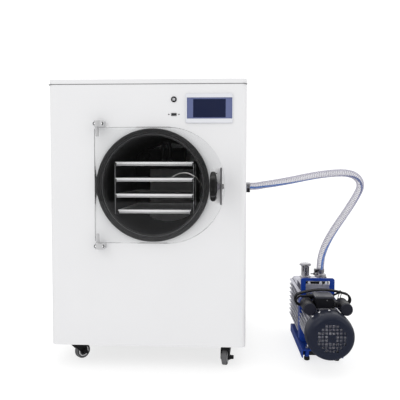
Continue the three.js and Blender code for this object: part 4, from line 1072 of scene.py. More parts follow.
for level in range(1, 5):
    low, high = extent(f"shelf_{level}")
    heated = made_of(
        plate_metal,
        slab(low.x + 1, high.x - 1, low.y + 1, high.y, low.z, low.z + 1.9),
        slab(low.x + 3, high.x - 3, low.y, low.y + 3, low.z, low.z + 5),
    ) + made_of(
        shelf_plastic,
        slab(low.x, low.x + 3.4, low.y - 0.4, low.y + 12, low.z, low.z + 8),
        slab(high.x - 3.4, high.x, low.y - 0.4, low.y + 12, low.z, low.z + 8),
    )
    build(f"heated_shelf_{level}", heated, "shelf_aluminium", f"shelf_{level}", bevel=0.25)
    rim_outline = rounded(low.x + 1.6, high.x - 1.6, low.y + 2.8, high.y - 0.8, 6, 6)
    rim_path = [(x, y, high.z - 0.9) for x, y in rim_outline]
    pan = made_of(
        tray_painted_sheen,
        *open_box(low.x + 2, high.x - 2, low.y + 3.4, high.y - 1, low.z + 2.1, high.z - 0.8, 1.2, 0.9),
        slab(low.x + 0.4, high.x - 0.4, low.y, low.y + 3.6, high.z - 5.8, high.z),
        drawn([*rim_path, rim_path[0]], 0.9, 8),
    )
    build(f"product_tray_{level}", pan, "shelf_aluminium", bevel=0.3)
print("four heated shelves and four trays")

# %% [markdown]
# ## What feeds the chamber
# Two hoses of the shelf heating come down from a bracket under the drum's roof to the
# top shelf. At the back on the left sits the vent valve with its curved pipe, and the
# suction pipe leaves through the right wall. A curve object with a round bevel would
# bend them too. Here each is a bar drawn along a smooth path, like the cords.

# %% Heater hoses
low, high = extent("heater_conduits")
feed_rubber = finish("feed_rubber", (0.006, 0.006, 0.007), 0.3, dust=0.02)
FEED_RADIUS = 6.4
y, foot_z, crown = (low.y + high.y) / 2, low.z, high.z - FEED_RADIUS
left_x, right_x = low.x + 5, high.x - 6
arch = [(left_x - 1, y, foot_z + 4), (left_x - 1.5, y, crown - 34), (left_x, y, crown - 13)]
for i in range(1, 6):
    across = (right_x - left_x) / 2 * (1 - cos(pi * i / 6))
    arch.append((left_x + across, y, crown - 7 + 7 * sin(pi * i / 6)))
arch += [(right_x, y, crown - 13), (right_x + 2, y, crown - 34), (right_x + 2.5, y, foot_z + 4)]
ferrule = [(0, 0), (7.8, 0), (7.8, 8), (7, 9), (7, 12), (0, 12)]
feeds = [(drawn(smooth_path(arch, 4), FEED_RADIUS, 16), feed_rubber)]
for x in (left_x - 1, right_x + 2.5):
    feeds.append((turned("z", (x, y, foot_z + 8), ferrule, 24), rack_steel))
feeds.append((slab(low.x, high.x, y - 8, y + 8, foot_z, foot_z + 9), shelf_plastic))
build("heater_feed_hoses", feeds, "zinc_steel", "heater_conduits", bevel=0.4, smooth=50)
print("heater hoses:", round(right_x - left_x), "mm apart")

# %% Vent valve with its pipe and lever
VALVE_X, VALVE_Y, VALVE_Z = -55, DRUM_BACK - 45, 655
valve = (VALVE_X, VALVE_Y, VALVE_Z)
pipe_points = [
    (VALVE_X, VALVE_Y, 664), (-53, VALVE_Y - 10, 676), (-38, VALVE_Y - 26, 682), (-8, VALVE_Y - 60, 690),
    (22, 220, 694), (40, 170, 690),
]
lever_points = [
    (VALVE_X, VALVE_Y - 14, 670), (-72, VALVE_Y - 18, 672), (-88, VALVE_Y - 16, 660),
    (-94, VALVE_Y - 10, 640),
]
bonnet = [(0, -12), (11, -12), (13, -10), (13, 6), (9, 8), (9, 38), (0, 38)]
spigot = [(0, -30), (6.6, -30), (6.6, -12), (9, -10), (9, 12), (7, 14), (7, 24), (0, 24)]
build("vent_valve", [
    (drawn(smooth_path(pipe_points, 5), 5.5, 16), feed_rubber),
    (drawn(smooth_path(lever_points, 5), 3.6, 12), feed_rubber),
    (turned("y", valve, bonnet, 32), shelf_plastic), (turned("z", valve, spigot, 24), shelf_plastic),
], "black_plastic", bevel=0.4, smooth=50)
print("vent valve at", [round(v) for v in valve])

# %% Suction pipe with its wall flange
low, high = extent("vacuum_port")
port = middle("vacuum_port")
bore, tube, wall = 8, 12, HALF_WIDTH
port_profile = [
    (bore, low.x), (tube, low.x), (tube, wall + 0.3), (22, wall + 0.3), (22, wall + 3.4), (20.5, wall + 4.2),
    (13, wall + 5), (tube, wall + 6), (tube, high.x), (bore, high.x),
]
suction_pipe = turned("x", (0, port.y, port.z), port_profile, 64)
build("suction_pipe", [(suction_pipe, brushed_steel)], "stainless_steel", "vacuum_port", bevel=0.4)
print("suction pipe:", round(high.x - low.x), "mm long")

# %% Cold coil and the drum's cradle
COIL_TURNS, COIL_TUBE, COIL_STEPS = 4, 5, 48
low, high = extent("cold_coil")
copper = finish("copper_pipe", (0.72, 0.32, 0.17), 0.28, metal=1.0, grain=0.006, spread=0.14, patch=30)
coil_radius, coil_from = DRUM_OUT + COIL_TUBE + 0.4, low.y + COIL_TUBE
advance = (high.y - low.y - 2 * COIL_TUBE) / (COIL_TURNS * COIL_STEPS)
coil_path = []
for i in range(COIL_TURNS * COIL_STEPS + 1):
    turn = tau * i / COIL_STEPS
    x, z = DRUM_X + coil_radius * cos(turn), DRUM_Z + coil_radius * sin(turn)
    coil_path.append((x, coil_from + advance * i, z))
build("cold_coil_pipe", [(drawn(coil_path, COIL_TUBE, 12), copper)], "copper_tube", "cold_coil", smooth=60)
refined("drum_saddles", "drum_cradle", zinc, "zinc_steel", 0.4)
print("coil of", COIL_TURNS, "turns, and cradle")

# %% [markdown]
# ## Refrigeration behind the vents
# The compressor is two drawn steel shells welded round the middle and painted black,
# on four rubber grommets. It is a turned profile like the drum, so it needs no more
# than its outline. The condenser is a stack of thin fins on copper tubes: a fin
# repeats by rule, so a tree places them, and its inputs are the pitch and the count.

# %% Compressor
black_paint = finish(
    "black_paint", (0.013, 0.013, 0.014), 0.28, coat=0.3, grain=0.02, size=1.4, spread=0.2, dust=0.35
)
low, high = extent("compressor")
CX, CY, _ = middle("compressor")
CR, base_z, top_z = (high.x - low.x) / 2, low.z + 14, high.z
seam = base_z + 92
can = [
    (0, base_z), (CR - 16, base_z), (CR - 7, base_z + 4), (CR - 1.5, base_z + 14), (CR - 0.8, base_z + 26),
    (CR - 0.8, seam - 3), (CR, seam - 2), (CR, seam + 2), (CR - 2, seam + 3), (CR - 2, top_z - 34),
    (CR - 5, top_z - 19), (CR - 13, top_z - 8), (CR - 28, top_z - 1.5), (CR - 44, top_z), (0, top_z),
]
grommet = [
    (0, low.z), (9, low.z), (9, low.z + 4), (6, low.z + 5.5), (9, low.z + 7), (9, base_z - 3),
    (0, base_z - 3),
]
works = [
    (turned("z", (CX, CY, 0), can, 72), black_paint),
    (slab(CX - 62, CX + 62, CY - 62, CY + 62, base_z - 3, base_z), zinc),
]
for dx, dy in ((-50, -50), (-50, 50), (50, -50), (50, 50)):
    works.append((turned("z", (CX + dx, CY + dy, 0), grommet, 24), cord_rubber))
bend = [
    (CX - 20, CY, top_z - 4), (CX - 20, CY, top_z + 8), (CX - 6, CY, top_z + 12),
    (CX + 30, CY - 4, top_z - 8),
]
works += [
    (slab(CX + CR - 24, CX + CR - 1, CY - 22, CY + 22, seam + 12, seam + 62), shelf_plastic),
    (drawn(smooth_path(bend, 6), 4, 12), copper),
]
build("compressor_shell", works, "black_steel", "compressor", bevel=0.8, smooth=40)
print("compressor:", round(2 * CR), "mm across")

# %% A tree that stacks thin fins
def fins_tree():
    tree, given, made = geometry_tree("Fin Stack", [
        ("Count", "Int", 60), ("Pitch", "Float", 0.003), ("Fin", "Vector", (0.0003, 0.03, 0.2)),
    ])
    step = wired(tree, "ShaderNodeCombineXYZ", {"X": given["Pitch"]})
    line = wired(tree, "GeometryNodeMeshLine", {"Count": given["Count"], "Offset": step.outputs[0]})
    fin = wired(tree, "GeometryNodeMeshCube", {"Size": given["Fin"]})
    inputs = {"Points": line.outputs[0], "Instance": fin.outputs[0]}
    stack = wired(tree, "GeometryNodeInstanceOnPoints", inputs)
    place = tree.nodes.new("GeometryNodeInputPosition")
    start = wired(
        tree, "GeometryNodeSampleIndex", {"Geometry": given["Geometry"], "Value": place.outputs[0]},
        data_type="FLOAT_VECTOR",
    )
    inputs = {"Geometry": stack.outputs[0], "Translation": start.outputs[0]}
    moved = wired(tree, "GeometryNodeTransform", inputs)
    return ended(tree, given, made, moved.outputs[0])


FIN_PITCH, FIN_THICK, FIN_DEEP, BLOCK_DEEP, BORDER = 3.2, 0.35, 38, 40, 8
low, high = CONDENSER_LOW, CONDENSER_HIGH
fin_metal = finish("fin_metal", (0.7, 0.71, 0.72), 0.35, metal=1.0, size=3.0, dust=0.3)
block_front = high.y - BLOCK_DEEP
count = int((high.x - low.x - 2 * BORDER) / FIN_PITCH)
first = (low.x + BORDER + FIN_PITCH / 2, (block_front + high.y) / 2, (low.z + high.z) / 2)
fins = grown(
    "condenser_fins", spots("first_fin", [(first, BACK)]), fins_tree(), Count=count, Pitch=FIN_PITCH * MM,
    Fin=(FIN_THICK * MM, FIN_DEEP * MM, (high.z - low.z - 2 * BORDER) * MM), Finish=fin_metal,
)
carry(fins, "machine", "shelf_aluminium")
print(count, "fins at", FIN_PITCH, "mm")

# %% Condenser frame and shroud
FAN_R, SHROUD_DEEP, HOLE_SIDES = 92, 32, 96
CDX, CDZ = (low.x + high.x) / 2, (low.z + high.z) / 2
fan_centre = (CDX, 0, CDZ)
shroud = block_front - SHROUD_DEEP
cowl = [
    (FAN_R + 9, shroud), (FAN_R + 5, shroud), (FAN_R + 3, shroud + 2), (FAN_R + 3, block_front - 2),
    (FAN_R + 9, block_front - 2),
]


def ring_plate(centre, square, radius, a, b):
    """A square plate with a round hole in it, from `a` to `b` along Y."""
    hole, edge = circle(radius, HOLE_SIDES), []
    for u, v in circle(1, HOLE_SIDES):
        reach = square / max(abs(u), abs(v))
        edge.append((reach * u, reach * v))
    return lofted("y", centre, [(a, edge), (b, edge), (b, hole), (a, hole)], closed=True)


borders = [
    slab(low.x, high.x, block_front, high.y, low.z, low.z + BORDER),
    slab(low.x, high.x, block_front, high.y, high.z - BORDER, high.z),
    slab(low.x, low.x + BORDER, block_front, high.y, low.z, high.z),
    slab(high.x - BORDER, high.x, block_front, high.y, low.z, high.z),
]
shroud_plate = ring_plate(fan_centre, (high.x - low.x) / 2 - 6, FAN_R + 8, shroud, shroud + 1.6)
block = made_of(zinc, *borders) + made_of(black_paint, shroud_plate, turned("y", fan_centre, cowl, 64))
print("condenser frame, mm:", [round(v) for v in high - low])

# %% Condenser tubes and fan guard
TUBE_ROWS, TUBES, SPOKES = (-12, 12), 6, 8
HOOPS = (34, 58, 82)
for row in TUBE_ROWS:
    y = block_front + BLOCK_DEEP / 2 + row
    for k in range(TUBES):
        z = low.z + 26 + k * (high.z - low.z - 52) / (TUBES - 1)
        block.append((drawn([(low.x - 3, y, z), (CDX, y, z), (high.x + 3, y, z)], 4, 12), copper))
for radius in HOOPS:
    hoop = [(x, shroud - 3, z) for x, z in circle(radius, 48, CDX, CDZ)]
    block.append((drawn([*hoop, hoop[0]], 1.2, 6), black_oxide))
for c, s in circle(1, SPOKES):
    spoke = [(CDX + r * c, shroud - 2, CDZ + r * s) for r in (20, 60, 99)]
    block.append((drawn(spoke, 1.2, 6), black_oxide))
motor_can = [(0, shroud - 8), (22, shroud - 8), (24, shroud - 5), (24, shroud + 3), (0, shroud + 3)]
block.append((turned("y", fan_centre, motor_can, 40), black_paint))
build("condenser_frame", block, "shelf_aluminium", "condenser", bevel=0.4, smooth=45)
print("condenser with", len(TUBE_ROWS) * TUBES, "tubes")

# %% [markdown]
# ## The condenser's fan
# An axial fan's blade is a thin curved plate, set at an angle to the hub and a little
# wider at its tip. A plane with Solidify and a Simple Deform would come close, but its
# pitch would be hard to read off. Here each blade is skinned over five sections from
# hub to tip, so its chord, pitch and camber are plain numbers.

# %% Fan with pitched, slightly curved blades
BLADES, SECTIONS, BLADE_THICK, BLADE_STEPS = 5, 5, 1.6, 8


def blade_section(width, pitch, camber):
    """A blade's section as (along the axis, across it): one face there and the other back."""
    ring, half = [], BLADE_THICK / 2
    for skin, order in ((-half, range(BLADE_STEPS + 1)), (half, range(BLADE_STEPS, -1, -1))):
        for i in order:
            across = width * (i / BLADE_STEPS - 0.5)
            bow = camber * (1 - (2 * i / BLADE_STEPS - 1) ** 2) + skin
            ring.append((across * sin(pitch) + bow * cos(pitch), across * cos(pitch) - bow * sin(pitch)))
    return ring


def blade(centre, inner, outer, chord, pitch, camber, turn):
    """One blade from hub to tip, pitched about its own length."""
    x, y, z = centre
    c, s = cos(turn), sin(turn)
    corners = []
    for k in range(SECTIONS):
        share = k / (SECTIONS - 1)
        radius = inner + (outer - inner) * share
        section = blade_section(chord * (0.82 + 0.18 * share), pitch, camber)
        for along, side in section:
            corners.append((x + radius * c - side * s, y + along, z + radius * s + side * c))
    return skinned(corners, len(section))


fan_plastic = finish("fan_plastic", (0.02, 0.02, 0.022), 0.4, size=0.8, dust=0.3)
fan_middle = (CDX, middle("condenser_fan").y, CDZ)
hub = [(4.6, -8), (17, -8), (20, -5), (20, 8), (4.6, 8)]
blades = [blade(fan_middle, 18, FAN_R - 1, 44, 0.42, 3, tau * k / BLADES) for k in range(BLADES)]
build(
    "condenser_fan_blades", made_of(fan_plastic, turned("y", fan_middle, hub, 40), *blades), "black_plastic",
    "condenser_fan", body="condenser_fan", bevel=0.3, smooth=50,
)
print("condenser fan:", BLADES, "blades")

# %% [markdown]
# ## Control case and mains inlet
# The electrics sit in a folded case with a lid, and the mains comes in through an
# appliance inlet in the rear panel. The case is two plain boxes, and black strips stand
# in place of its open slots: painted shade.
# The inlet's solid has its recess already, so it is refined, and gets three pins.

# %% Control case
low, high = extent("control_box")
case = made_of(
    zinc, slab(low.x, high.x, low.y, high.y, low.z, high.z - 2.2),
    slab(low.x - 0.8, high.x, low.y - 0.8, high.y + 0.8, high.z - 2, high.z),
)
# Black strips in place of the case's open slots: painted shade.
for k in range(5):
    y = low.y + 50 + 14 * k
    case.append((slab(low.x - 1.2, low.x + 1, y, y + 5, low.z + 20, high.z - 24), black_oxide))
build("control_case", case, "zinc_steel", "control_box", bevel=0.5)
case_corners = [(y, z) for y in (low.y + 10, high.y - 10) for z in (low.z + 10, high.z - 14)]
screws("control_case_screws", small_screw, screw_steel, [((low.x, y, z), LEFT) for y, z in case_corners])
print("control case, mm:", [round(v) for v in high - low])

# %% Mains inlet
refined("mains_inlet", "power_inlet", plug_plastic, "black_plastic", 0.4)
low, high = extent("power_inlet")
IX, _, IZ = middle("power_inlet")
PIN_PLACES = ((-7, -2.4), (0, 2.6), (7, -2.4))
pins = []
for dx, dz in PIN_PLACES:
    x, z = IX + dx, IZ + dz
    pins.append(slab(x - 1.3, x + 1.3, high.y - 14.5, high.y - 4, z - 3, z + 3))
build("inlet_pins", made_of(nickel_pin, *pins), "zinc_steel", bevel=0.3)
screws("inlet_screws", small_screw, screw_steel, [((IX + dx, high.y, IZ), BACK) for dx in (-20, 20)])
print("inlet with", len(pins), "pins")

# %% [markdown]
# ## Front controls
# The display stands in a white moulded surround. Behind its face glass lies a slate
# border printed round the dark panel of the screen, which is off. Beside it are the
# round mains switch, with a plain line and circle for on and off, and a small socket
# for a memory stick between two screws. A surround could be cut with a Boolean, but
# a loft over six outlines that closes on itself leaves cleaner edges to bevel.

# %% Display
low, high = extent("display_panel")
bezel_white = finish("bezel_white", (0.72, 0.73, 0.77), 0.3, coat=0.2, grain=0.012, size=0.8, spread=0.02)
slate_face = finish(
    "slate_face", (0.125, 0.15, 0.3), 0.3, grain=0.004, size=2.0, spread=0.06, smudges=0.3, dust=0.05
)
screen_dark = finish(
    "screen_dark", (0.014, 0.019, 0.052), 0.16, grain=0.0, size=3.0, spread=0.1, smudges=0.25, dust=0.0
)
SIDE, EDGE, FOOT, HEAD, SOFT = 4.2, 1.6, 13.0, 11.4, 1.6  # the surround's margins and its soft edge
face_x = (low.x + SIDE, high.x - EDGE)
face_z = (low.z + FOOT, high.z - HEAD)
screen_x = (low.x + 22.6, high.x - 21)
screen_z = (face_z[0] + 3.6, face_z[1] - 4.4)
outer = rounded(low.x, high.x, low.z, high.z, 5, 8)
front_edge = rounded(low.x + SOFT, high.x - SOFT, low.z + SOFT, high.z - SOFT, 4, 8)
window = rounded(*face_x, *face_z, 0.6, 8)
bezel = lofted("y", (0, 0, 0), [
    (-0.3, outer), (low.y + 1.8, outer), (low.y, front_edge), (low.y, window), (low.y + 2.6, window),
    (-0.3, window),
], closed=True)
build("display", [
    (bezel, bezel_white), (slab(*face_x, low.y + 1.9, -0.3, *face_z), slate_face),
    (slab(*screen_x, low.y + 1.6, low.y + 2.4, *screen_z), screen_dark),
    (slab(low.x + 10, high.x - 10, -1, high.y, low.z + 10, high.z - 10), shelf_plastic),
], "display_face", "display_panel", bevel=0.3)
print("screen, mm:", round(screen_x[1] - screen_x[0], 1), "by", round(screen_z[1] - screen_z[0], 1))

# %% Round switch with its rocker
low, high = extent("switch_body")
SX, _, SZ = middle("switch_body")
switch_black = finish("switch_black", (0.016, 0.016, 0.018), 0.3, grain=0.008, size=0.6)
rocker_grey = finish("rocker_grey", (0.5, 0.5, 0.52), 0.35, grain=0.008, size=0.6)
mark_black = finish("mark_black", (0.02, 0.02, 0.02), 0.5, grain=0.002, size=0.5)
ring = [
    (6.3, 10), (6.3, low.y + 0.6), (6.9, low.y), (7.9, low.y), (8.5, low.y + 0.8), (8.5, -0.3), (7.4, -0.3),
    (7.4, 20), (0, 20), (0, 10),
]
switch_ring = turned("y", (SX, 0, SZ), ring, 64)
build("switch_ring", [(switch_ring, switch_black)], "black_plastic", "switch_body", bevel=0.15)
key_side = [
    (-4.2, -4), (-4.0, -3.4), (-3.0, -2), (-2.4, 0), (-1.9, 2), (-1.6, 4), (4, 3), (9, 0.8), (9, -0.8),
    (4, -3),
]
key_body = pushed("x", [(y, SZ + z) for y, z in key_side], SX - 3.8, SX + 3.8)
on_mark = slab(SX - 0.35, SX + 0.35, -2.15, -1.5, SZ + 1.4, SZ + 3.8)
off_ring = [(x, -3.15, z) for x, z in circle(1.1, 16, SX, SZ - 2.7)]
off_mark = drawn([*off_ring, off_ring[0]], 0.28, 6)
key = [(key_body, rocker_grey), *made_of(mark_black, on_mark, off_mark)]
build("switch_key", key, "black_plastic", "switch_rocker", body="switch_rocker", bevel=0.3)
print("switch ring:", round(high.x - low.x, 1), "mm across")

# %% Memory stick socket
low, high = extent("usb_socket")
UX, _, UZ = middle("usb_socket")
socket_grey = finish("socket_grey", (0.2, 0.2, 0.21), 0.42, grain=0.012, size=0.7)
outer = rounded(UX - 8, UX + 8, UZ - 4, UZ + 4, 1, 4)
inner = rounded(UX - 6.6, UX + 6.6, UZ - 2.7, UZ + 2.7, 0.4, 4)
collar = lofted("y", (0, 0, 0), [(low.y, outer), (12, outer), (12, inner), (low.y, inner)], closed=True)
tongue = slab(UX - 6.4, UX + 6.4, low.y + 1.2, 10, UZ + 0.2, UZ + 1.8)
floor_plate = slab(UX - 6.8, UX + 6.8, 9.4, 12, UZ - 2.9, UZ + 2.9)
strap = slab(UX - 20, UX + 20, 2.3, 4.3, UZ - 8, UZ + 8)
build(
    "memory_socket", [(collar, socket_grey), *made_of(plug_plastic, tongue, floor_plate), (strap, zinc)],
    "zinc_steel", "usb_socket", bevel=0.15,
)
socket_screws = [((UX + dx, 0, UZ), FRONT) for dx in (-15, 15)]
screws("socket_screws", small_screw, black_oxide, socket_screws, slot="black_steel")
print("socket at", round(UX), round(UZ))

# %% [markdown]
# ## The clear door
# The door is one plate of 20 mm cast acrylic, straight along the hinge and round at
# the free side, like a capital D. It has to look like what it is: nearly nothing face
# on, with grey lines where its polished edges bend the light. Glass that casts a full
# shadow would leave the chamber black, so rays that carry only light pass straight
# through, and only the camera and reflections meet the refracting surface. Its hinge
# edge is half round, so that it can turn beside the seal: the plate is lofted over
# thirteen depths, each drawn in a little more along the hinge.

# %% Acrylic
def clear_plate(name, colour, index):
    material, tree, shader = start_material(name)
    smudge = placed(tree, HANDLED, Smudges=0.08, Dust=0.0)["Smudge"]
    feed(tree, shader, {
        "Roughness": smudge, "Base Color": (*colour, 1), "Transmission Weight": 1.0, "IOR": index,
    })
    clear = wired(tree, "ShaderNodeBsdfTransparent", {"Color": (0.97, 0.97, 0.97, 1)})
    path = tree.nodes.new("ShaderNodeLightPath").outputs
    passing = maths(tree, "MAXIMUM", path["Is Shadow Ray"], path["Is Diffuse Ray"])
    choose = wired(tree, "ShaderNodeMixShader", {0: passing, 1: shader.outputs[0], 2: clear.outputs[0]})
    feed(tree, tree.nodes["Material Output"], {"Surface": choose.outputs[0]})
    return material


acrylic = clear_plate("clear_acrylic", (0.985, 0.99, 0.99), 1.49)
print("acrylic:", acrylic.name)

# %% Door plate
door_low, door_high = extent("door_plate")
DOOR_R, DOOR_Z = (door_high.z - door_low.z) / 2, (door_high.z + door_low.z) / 2
DOOR_ARC = door_high.x - DOOR_R
HALF_THICK = (door_high.y - door_low.y) / 2
DEPTHS = (-1, -0.97, -0.9, -0.8, -0.6, -0.3, 0, 0.3, 0.6, 0.8, 0.9, 0.97, 1)
HINGE_CORNER, ARC_STEPS, CORNER_STEPS = 8, 72, 6


def door_outline(inset, left):
    """The D at one depth of the plate, drawn in by `inset`, and by `left` along the hinge."""
    straight, corner = DOOR_R - inset, HINGE_CORNER - 0.6 * left
    start = door_low.x + max(inset, left) + corner
    shape = []
    for i in range(ARC_STEPS + 1):
        turn = pi * i / ARC_STEPS
        shape.append((DOOR_ARC + straight * sin(turn), DOOR_Z - straight * cos(turn)))
    for up, order in ((1, range(CORNER_STEPS, -1, -1)), (-1, range(CORNER_STEPS + 1))):
        for i in order:
            turn = pi / 2 * i / CORNER_STEPS
            z = DOOR_Z + up * (straight - corner + corner * sin(turn))
            shape.append((start - corner * cos(turn), z))
    return shape


plate = []
for depth in DEPTHS:
    left = HALF_THICK * (1 - (1 - depth * depth) ** 0.5)
    y = (door_low.y + door_high.y) / 2 + HALF_THICK * depth
    plate.append((y, door_outline(max(0, 10 * abs(depth) - 9), left)))
pane = lofted("y", (0, 0, 0), plate)
build("door_pane", [(pane, acrylic)], "clear_acrylic", "door_plate", body="door", smooth=5)
print("door, mm:", [round(v) for v in door_high - door_low])

# %% [markdown]
# ## Hinges and handle bracket
# Two milled blocks carry the hinge pins, each held by cap screws: black collars paint
# the shade of their recesses, and near-white domes paint the glint of chrome. A
# white angle on the door's free side ends in a brushed plate, in which the star
# knob's spindle turns. The blocks' solids are right already, so they are refined.

# %% Hinge blocks and their cap screws
# A near-white, hardly metallic finish: painted glint on bright screw heads, bolts and studs.
painted_glint_white = finish("painted_glint_white", (0.92, 0.92, 0.93), 0.2, metal=0.1, grain=0.002)
satin_chrome = finish(
    "satin_chrome", (0.74, 0.74, 0.75), 0.2, metal=0.4, grain=0.004, spread=0.03, dust=0.05
)
low, high = extent("hinge_bracket_upper")
collar = [(0, 5), (5.2, 5), (5.2, 8), (0, 8)]
dome = [(0, 3.4), (1.6, 3.6), (2.6, 4.6), (2.8, 6), (0, 6)]
caps = []
for place, up in (("upper", 1), ("lower", -1)):
    block = f"hinge_bracket_{place}"
    refined(f"hinge_block_{place}", block, satin_chrome, "chrome_fittings", 0.7, segments=3)
    for dx in (3.2, 13, 23.6):
        cap_place = (low.x + dx, low.y, DOOR_Z + up * (DOOR_R + 9.8))
        # Each cap screw has a black collar as painted shade of its recess, and a near-white dome as painted
        # glint.
        for profile, material in ((collar, black_oxide), (dome, painted_glint_white)):
            caps.append((turned("y", cap_place, profile, 28), material))
build("hinge_cap_screws", caps, "zinc_steel")
print("two hinge blocks with", len(caps) // 2, "cap screws")

# %% Handle angle
low, high = extent("handle_bracket")
ANGLE_PLATE, ANGLE_FOOT = 5, 4
build("handle_angle", [
    (slab(low.x, high.x - ANGLE_PLATE, high.y - ANGLE_FOOT, high.y, low.z, high.z), powder_coat),
    (slab(high.x - ANGLE_PLATE, high.x, low.y, high.y, low.z, high.z), brushed_steel),
], "stainless_steel", "handle_bracket", body="door", bevel=0.8, segments=3)
foot_screws = [((low.x + 9, low.y + 60, z), FRONT) for z in (low.z + 16, (low.z + high.z) / 2, high.z - 16)]
screws("handle_screws", small_screw, screw_steel, foot_screws, body="door")
print("handle angle, mm:", [round(v) for v in high - low])

# %% [markdown]
# ## Star knob
# The knob is moulded in one piece. Its outline is a circle with a six-fold wave, and
# rings of this outline, drawn in a little towards both faces, give the plump rounded
# lobes. Six cylinders joined by a Boolean would leave sharp valleys, where the wave
# is smooth all the way round. A tapered hub and a steel spindle carry it.

# %% Knob
low, high = extent("star_knob")
_, KY, KZ = middle("star_knob")
bracket_low, bracket_high = extent("handle_bracket")
KNOB_R, LOBE, LOBES, KNOB_SIDES = 42, 4, 6, 96
knob_x = low.x + 10.5
chrome = finish("chrome", (0.82, 0.82, 0.83), 0.07, metal=1.0, grain=0.002, size=2.0, spread=0.02, dust=0.05)
knob_plastic = finish(
    "knob_plastic", (0.008, 0.008, 0.008), 0.34, grain=0.015, size=0.7, spread=0.1, smudges=0.3,
    specular=0.35,
)
hub_plastic = finish("hub_plastic", (0.3, 0.29, 0.33), 0.34, grain=0.015, size=0.7)


def star(inset, even):
    """The wavy outline, drawn in by `inset`; `even` fades the waves out towards a circle."""
    shape = []
    for c, s in circle(1, KNOB_SIDES):
        radius = KNOB_R - LOBE - inset + LOBE * (1 - even) * cos(LOBES * atan2(s, c) + pi)
        shape.append((radius * c, radius * s))
    return shape


KNOB_SECTIONS = (
    (-9.6, 28, 1), (-9.4, 14, 0.9), (-8.8, 7, 0.6), (-7.6, 3, 0.3), (-5.8, 1.2, 0.1), (-3, 0.2, 0),
    (0, 0, 0), (3, 0.3, 0), (5.4, 1.4, 0.1), (7, 3.6, 0.3), (8.4, 8, 0.6), (9.8, 15, 1), (11, 24, 1),
)
lobes = lofted("x", (knob_x, KY, KZ), [(x, star(inset, even)) for x, inset, even in KNOB_SECTIONS])
cone = [(0, 8), (13, 8), (12.4, 12), (9.4, 13.4), (8.4, 14.6), (8, 19), (0, 19)]
build("star_knob_grip", [
    (lobes, knob_plastic), (turned("x", (knob_x, KY, KZ), cone, 48), hub_plastic),
    (rod("x", (0, KY, KZ), 7.6, knob_x + 12, bracket_low.x + 16, 32), chrome),
], "black_plastic", "star_knob", body="star_knob", bevel=0.3, smooth=40)
print("knob:", 2 * KNOB_R, "mm over its lobes")

# %% Stud and nut behind the bracket
bolt_x, stud_x = bracket_high.x, bracket_low.x + 15
nut = [(0, bolt_x + 0.3), (8.4, bolt_x + 0.3), (8.4, bolt_x + 4.6), (7.4, bolt_x + 5.5), (0, bolt_x + 5.5)]
stud = [(0, stud_x), (4.8, stud_x), (4.8, high.x - 0.8), (4.0, high.x), (0, high.x)]
hardware = made_of(screw_steel, turned("x", (0, KY, KZ), nut, 6), turned("x", (0, KY, KZ), stud, 24))
build("knob_stud_and_nut", hardware, "zinc_steel", body="star_knob", bevel=0.3)
print("stud:", round(high.x - stud_x), "mm long")

# %% [markdown]
# ## Casters
# Each caster is turned by its own angle about its swivel, as a rolled cabinet stops.
# Four objects could share one mesh, but every piece here has its place in its mesh. So
# the solids are laid out once in the caster's own axes, wheel trailing behind the
# swivel, and `spun` turns them into place: a hooded black fork, a grey tread on a
# glossy black wheel and, on the front pair, a foot brake.

# %% Fork
WHEEL, TRAIL, TREAD, HEIGHT = 24, 22, 18, 68
CHEEK_IN, CHEEK_OUT = TREAD / 2 + 1.5, TREAD / 2 + 4
axle_at = (0, TRAIL, WHEEL)
caster_nylon = finish(
    "caster_nylon", (0.01, 0.01, 0.012), 0.34, grain=0.015, size=0.9, dust=0.08, specular=0.4
)


def caster_fork():
    cheek = [(-15, HEIGHT - 13), (-13, HEIGHT - 19), (-8, 42), (TRAIL - 10, WHEEL - 2)]
    cheek += [(TRAIL - 9 * cos(pi * i / 8), WHEEL - 9 * sin(pi * i / 8)) for i in range(9)]
    cheek += [(TRAIL + 9, WHEEL + 16), (TRAIL + 8, 48), (TRAIL + 3, 53), (TRAIL - 6, HEIGHT - 13)]
    hood = [
        (-15, HEIGHT - 13), (-13, HEIGHT - 16), (TRAIL - 8, HEIGHT - 16), (TRAIL + 2, 50), (TRAIL + 8, 44),
        (TRAIL + 9, 48), (TRAIL + 4, 54), (TRAIL - 5, HEIGHT - 13),
    ]
    crown = [
        (0, 50), (16, 50), (17, 52), (17, HEIGHT - 5.5), (15, HEIGHT - 3.5), (15, HEIGHT - 2.8),
        (0, HEIGHT - 2.8),
    ]
    axle = [
        (0, -CHEEK_OUT - 1), (4.4, -CHEEK_OUT - 1), (4.9, -CHEEK_OUT), (4.9, CHEEK_OUT),
        (4.4, CHEEK_OUT + 1), (0, CHEEK_OUT + 1),
    ]
    return made_of(
        caster_nylon, pushed("x", cheek, -CHEEK_OUT, -CHEEK_IN), pushed("x", cheek, CHEEK_IN, CHEEK_OUT),
        pushed("x", hood, -CHEEK_IN - 0.5, CHEEK_IN + 0.5), turned("z", (0, 0, 0), crown, 48),
    ) + made_of(
        screw_steel, rod("z", (0, 0, 0), 17.6, HEIGHT - 6.4, HEIGHT - 5.2, 48),
        turned("x", axle_at, axle, 32),
    )


print("fork:", len(caster_fork()), "solids")

# %% Wheel
wheel_gloss = finish("wheel_gloss", (0.006, 0.006, 0.007), 0.16, coat=0.5, grain=0.006, size=2.0, dust=0.05)
painted_glint_ring = finish("painted_glint_ring", (0.66, 0.66, 0.67), 0.2, metal=0.3, grain=0.004)
tread_grey = finish("tread_grey", (0.12, 0.12, 0.125), 0.55, grain=0.02, size=0.9, smudges=0.3, dust=0.15)


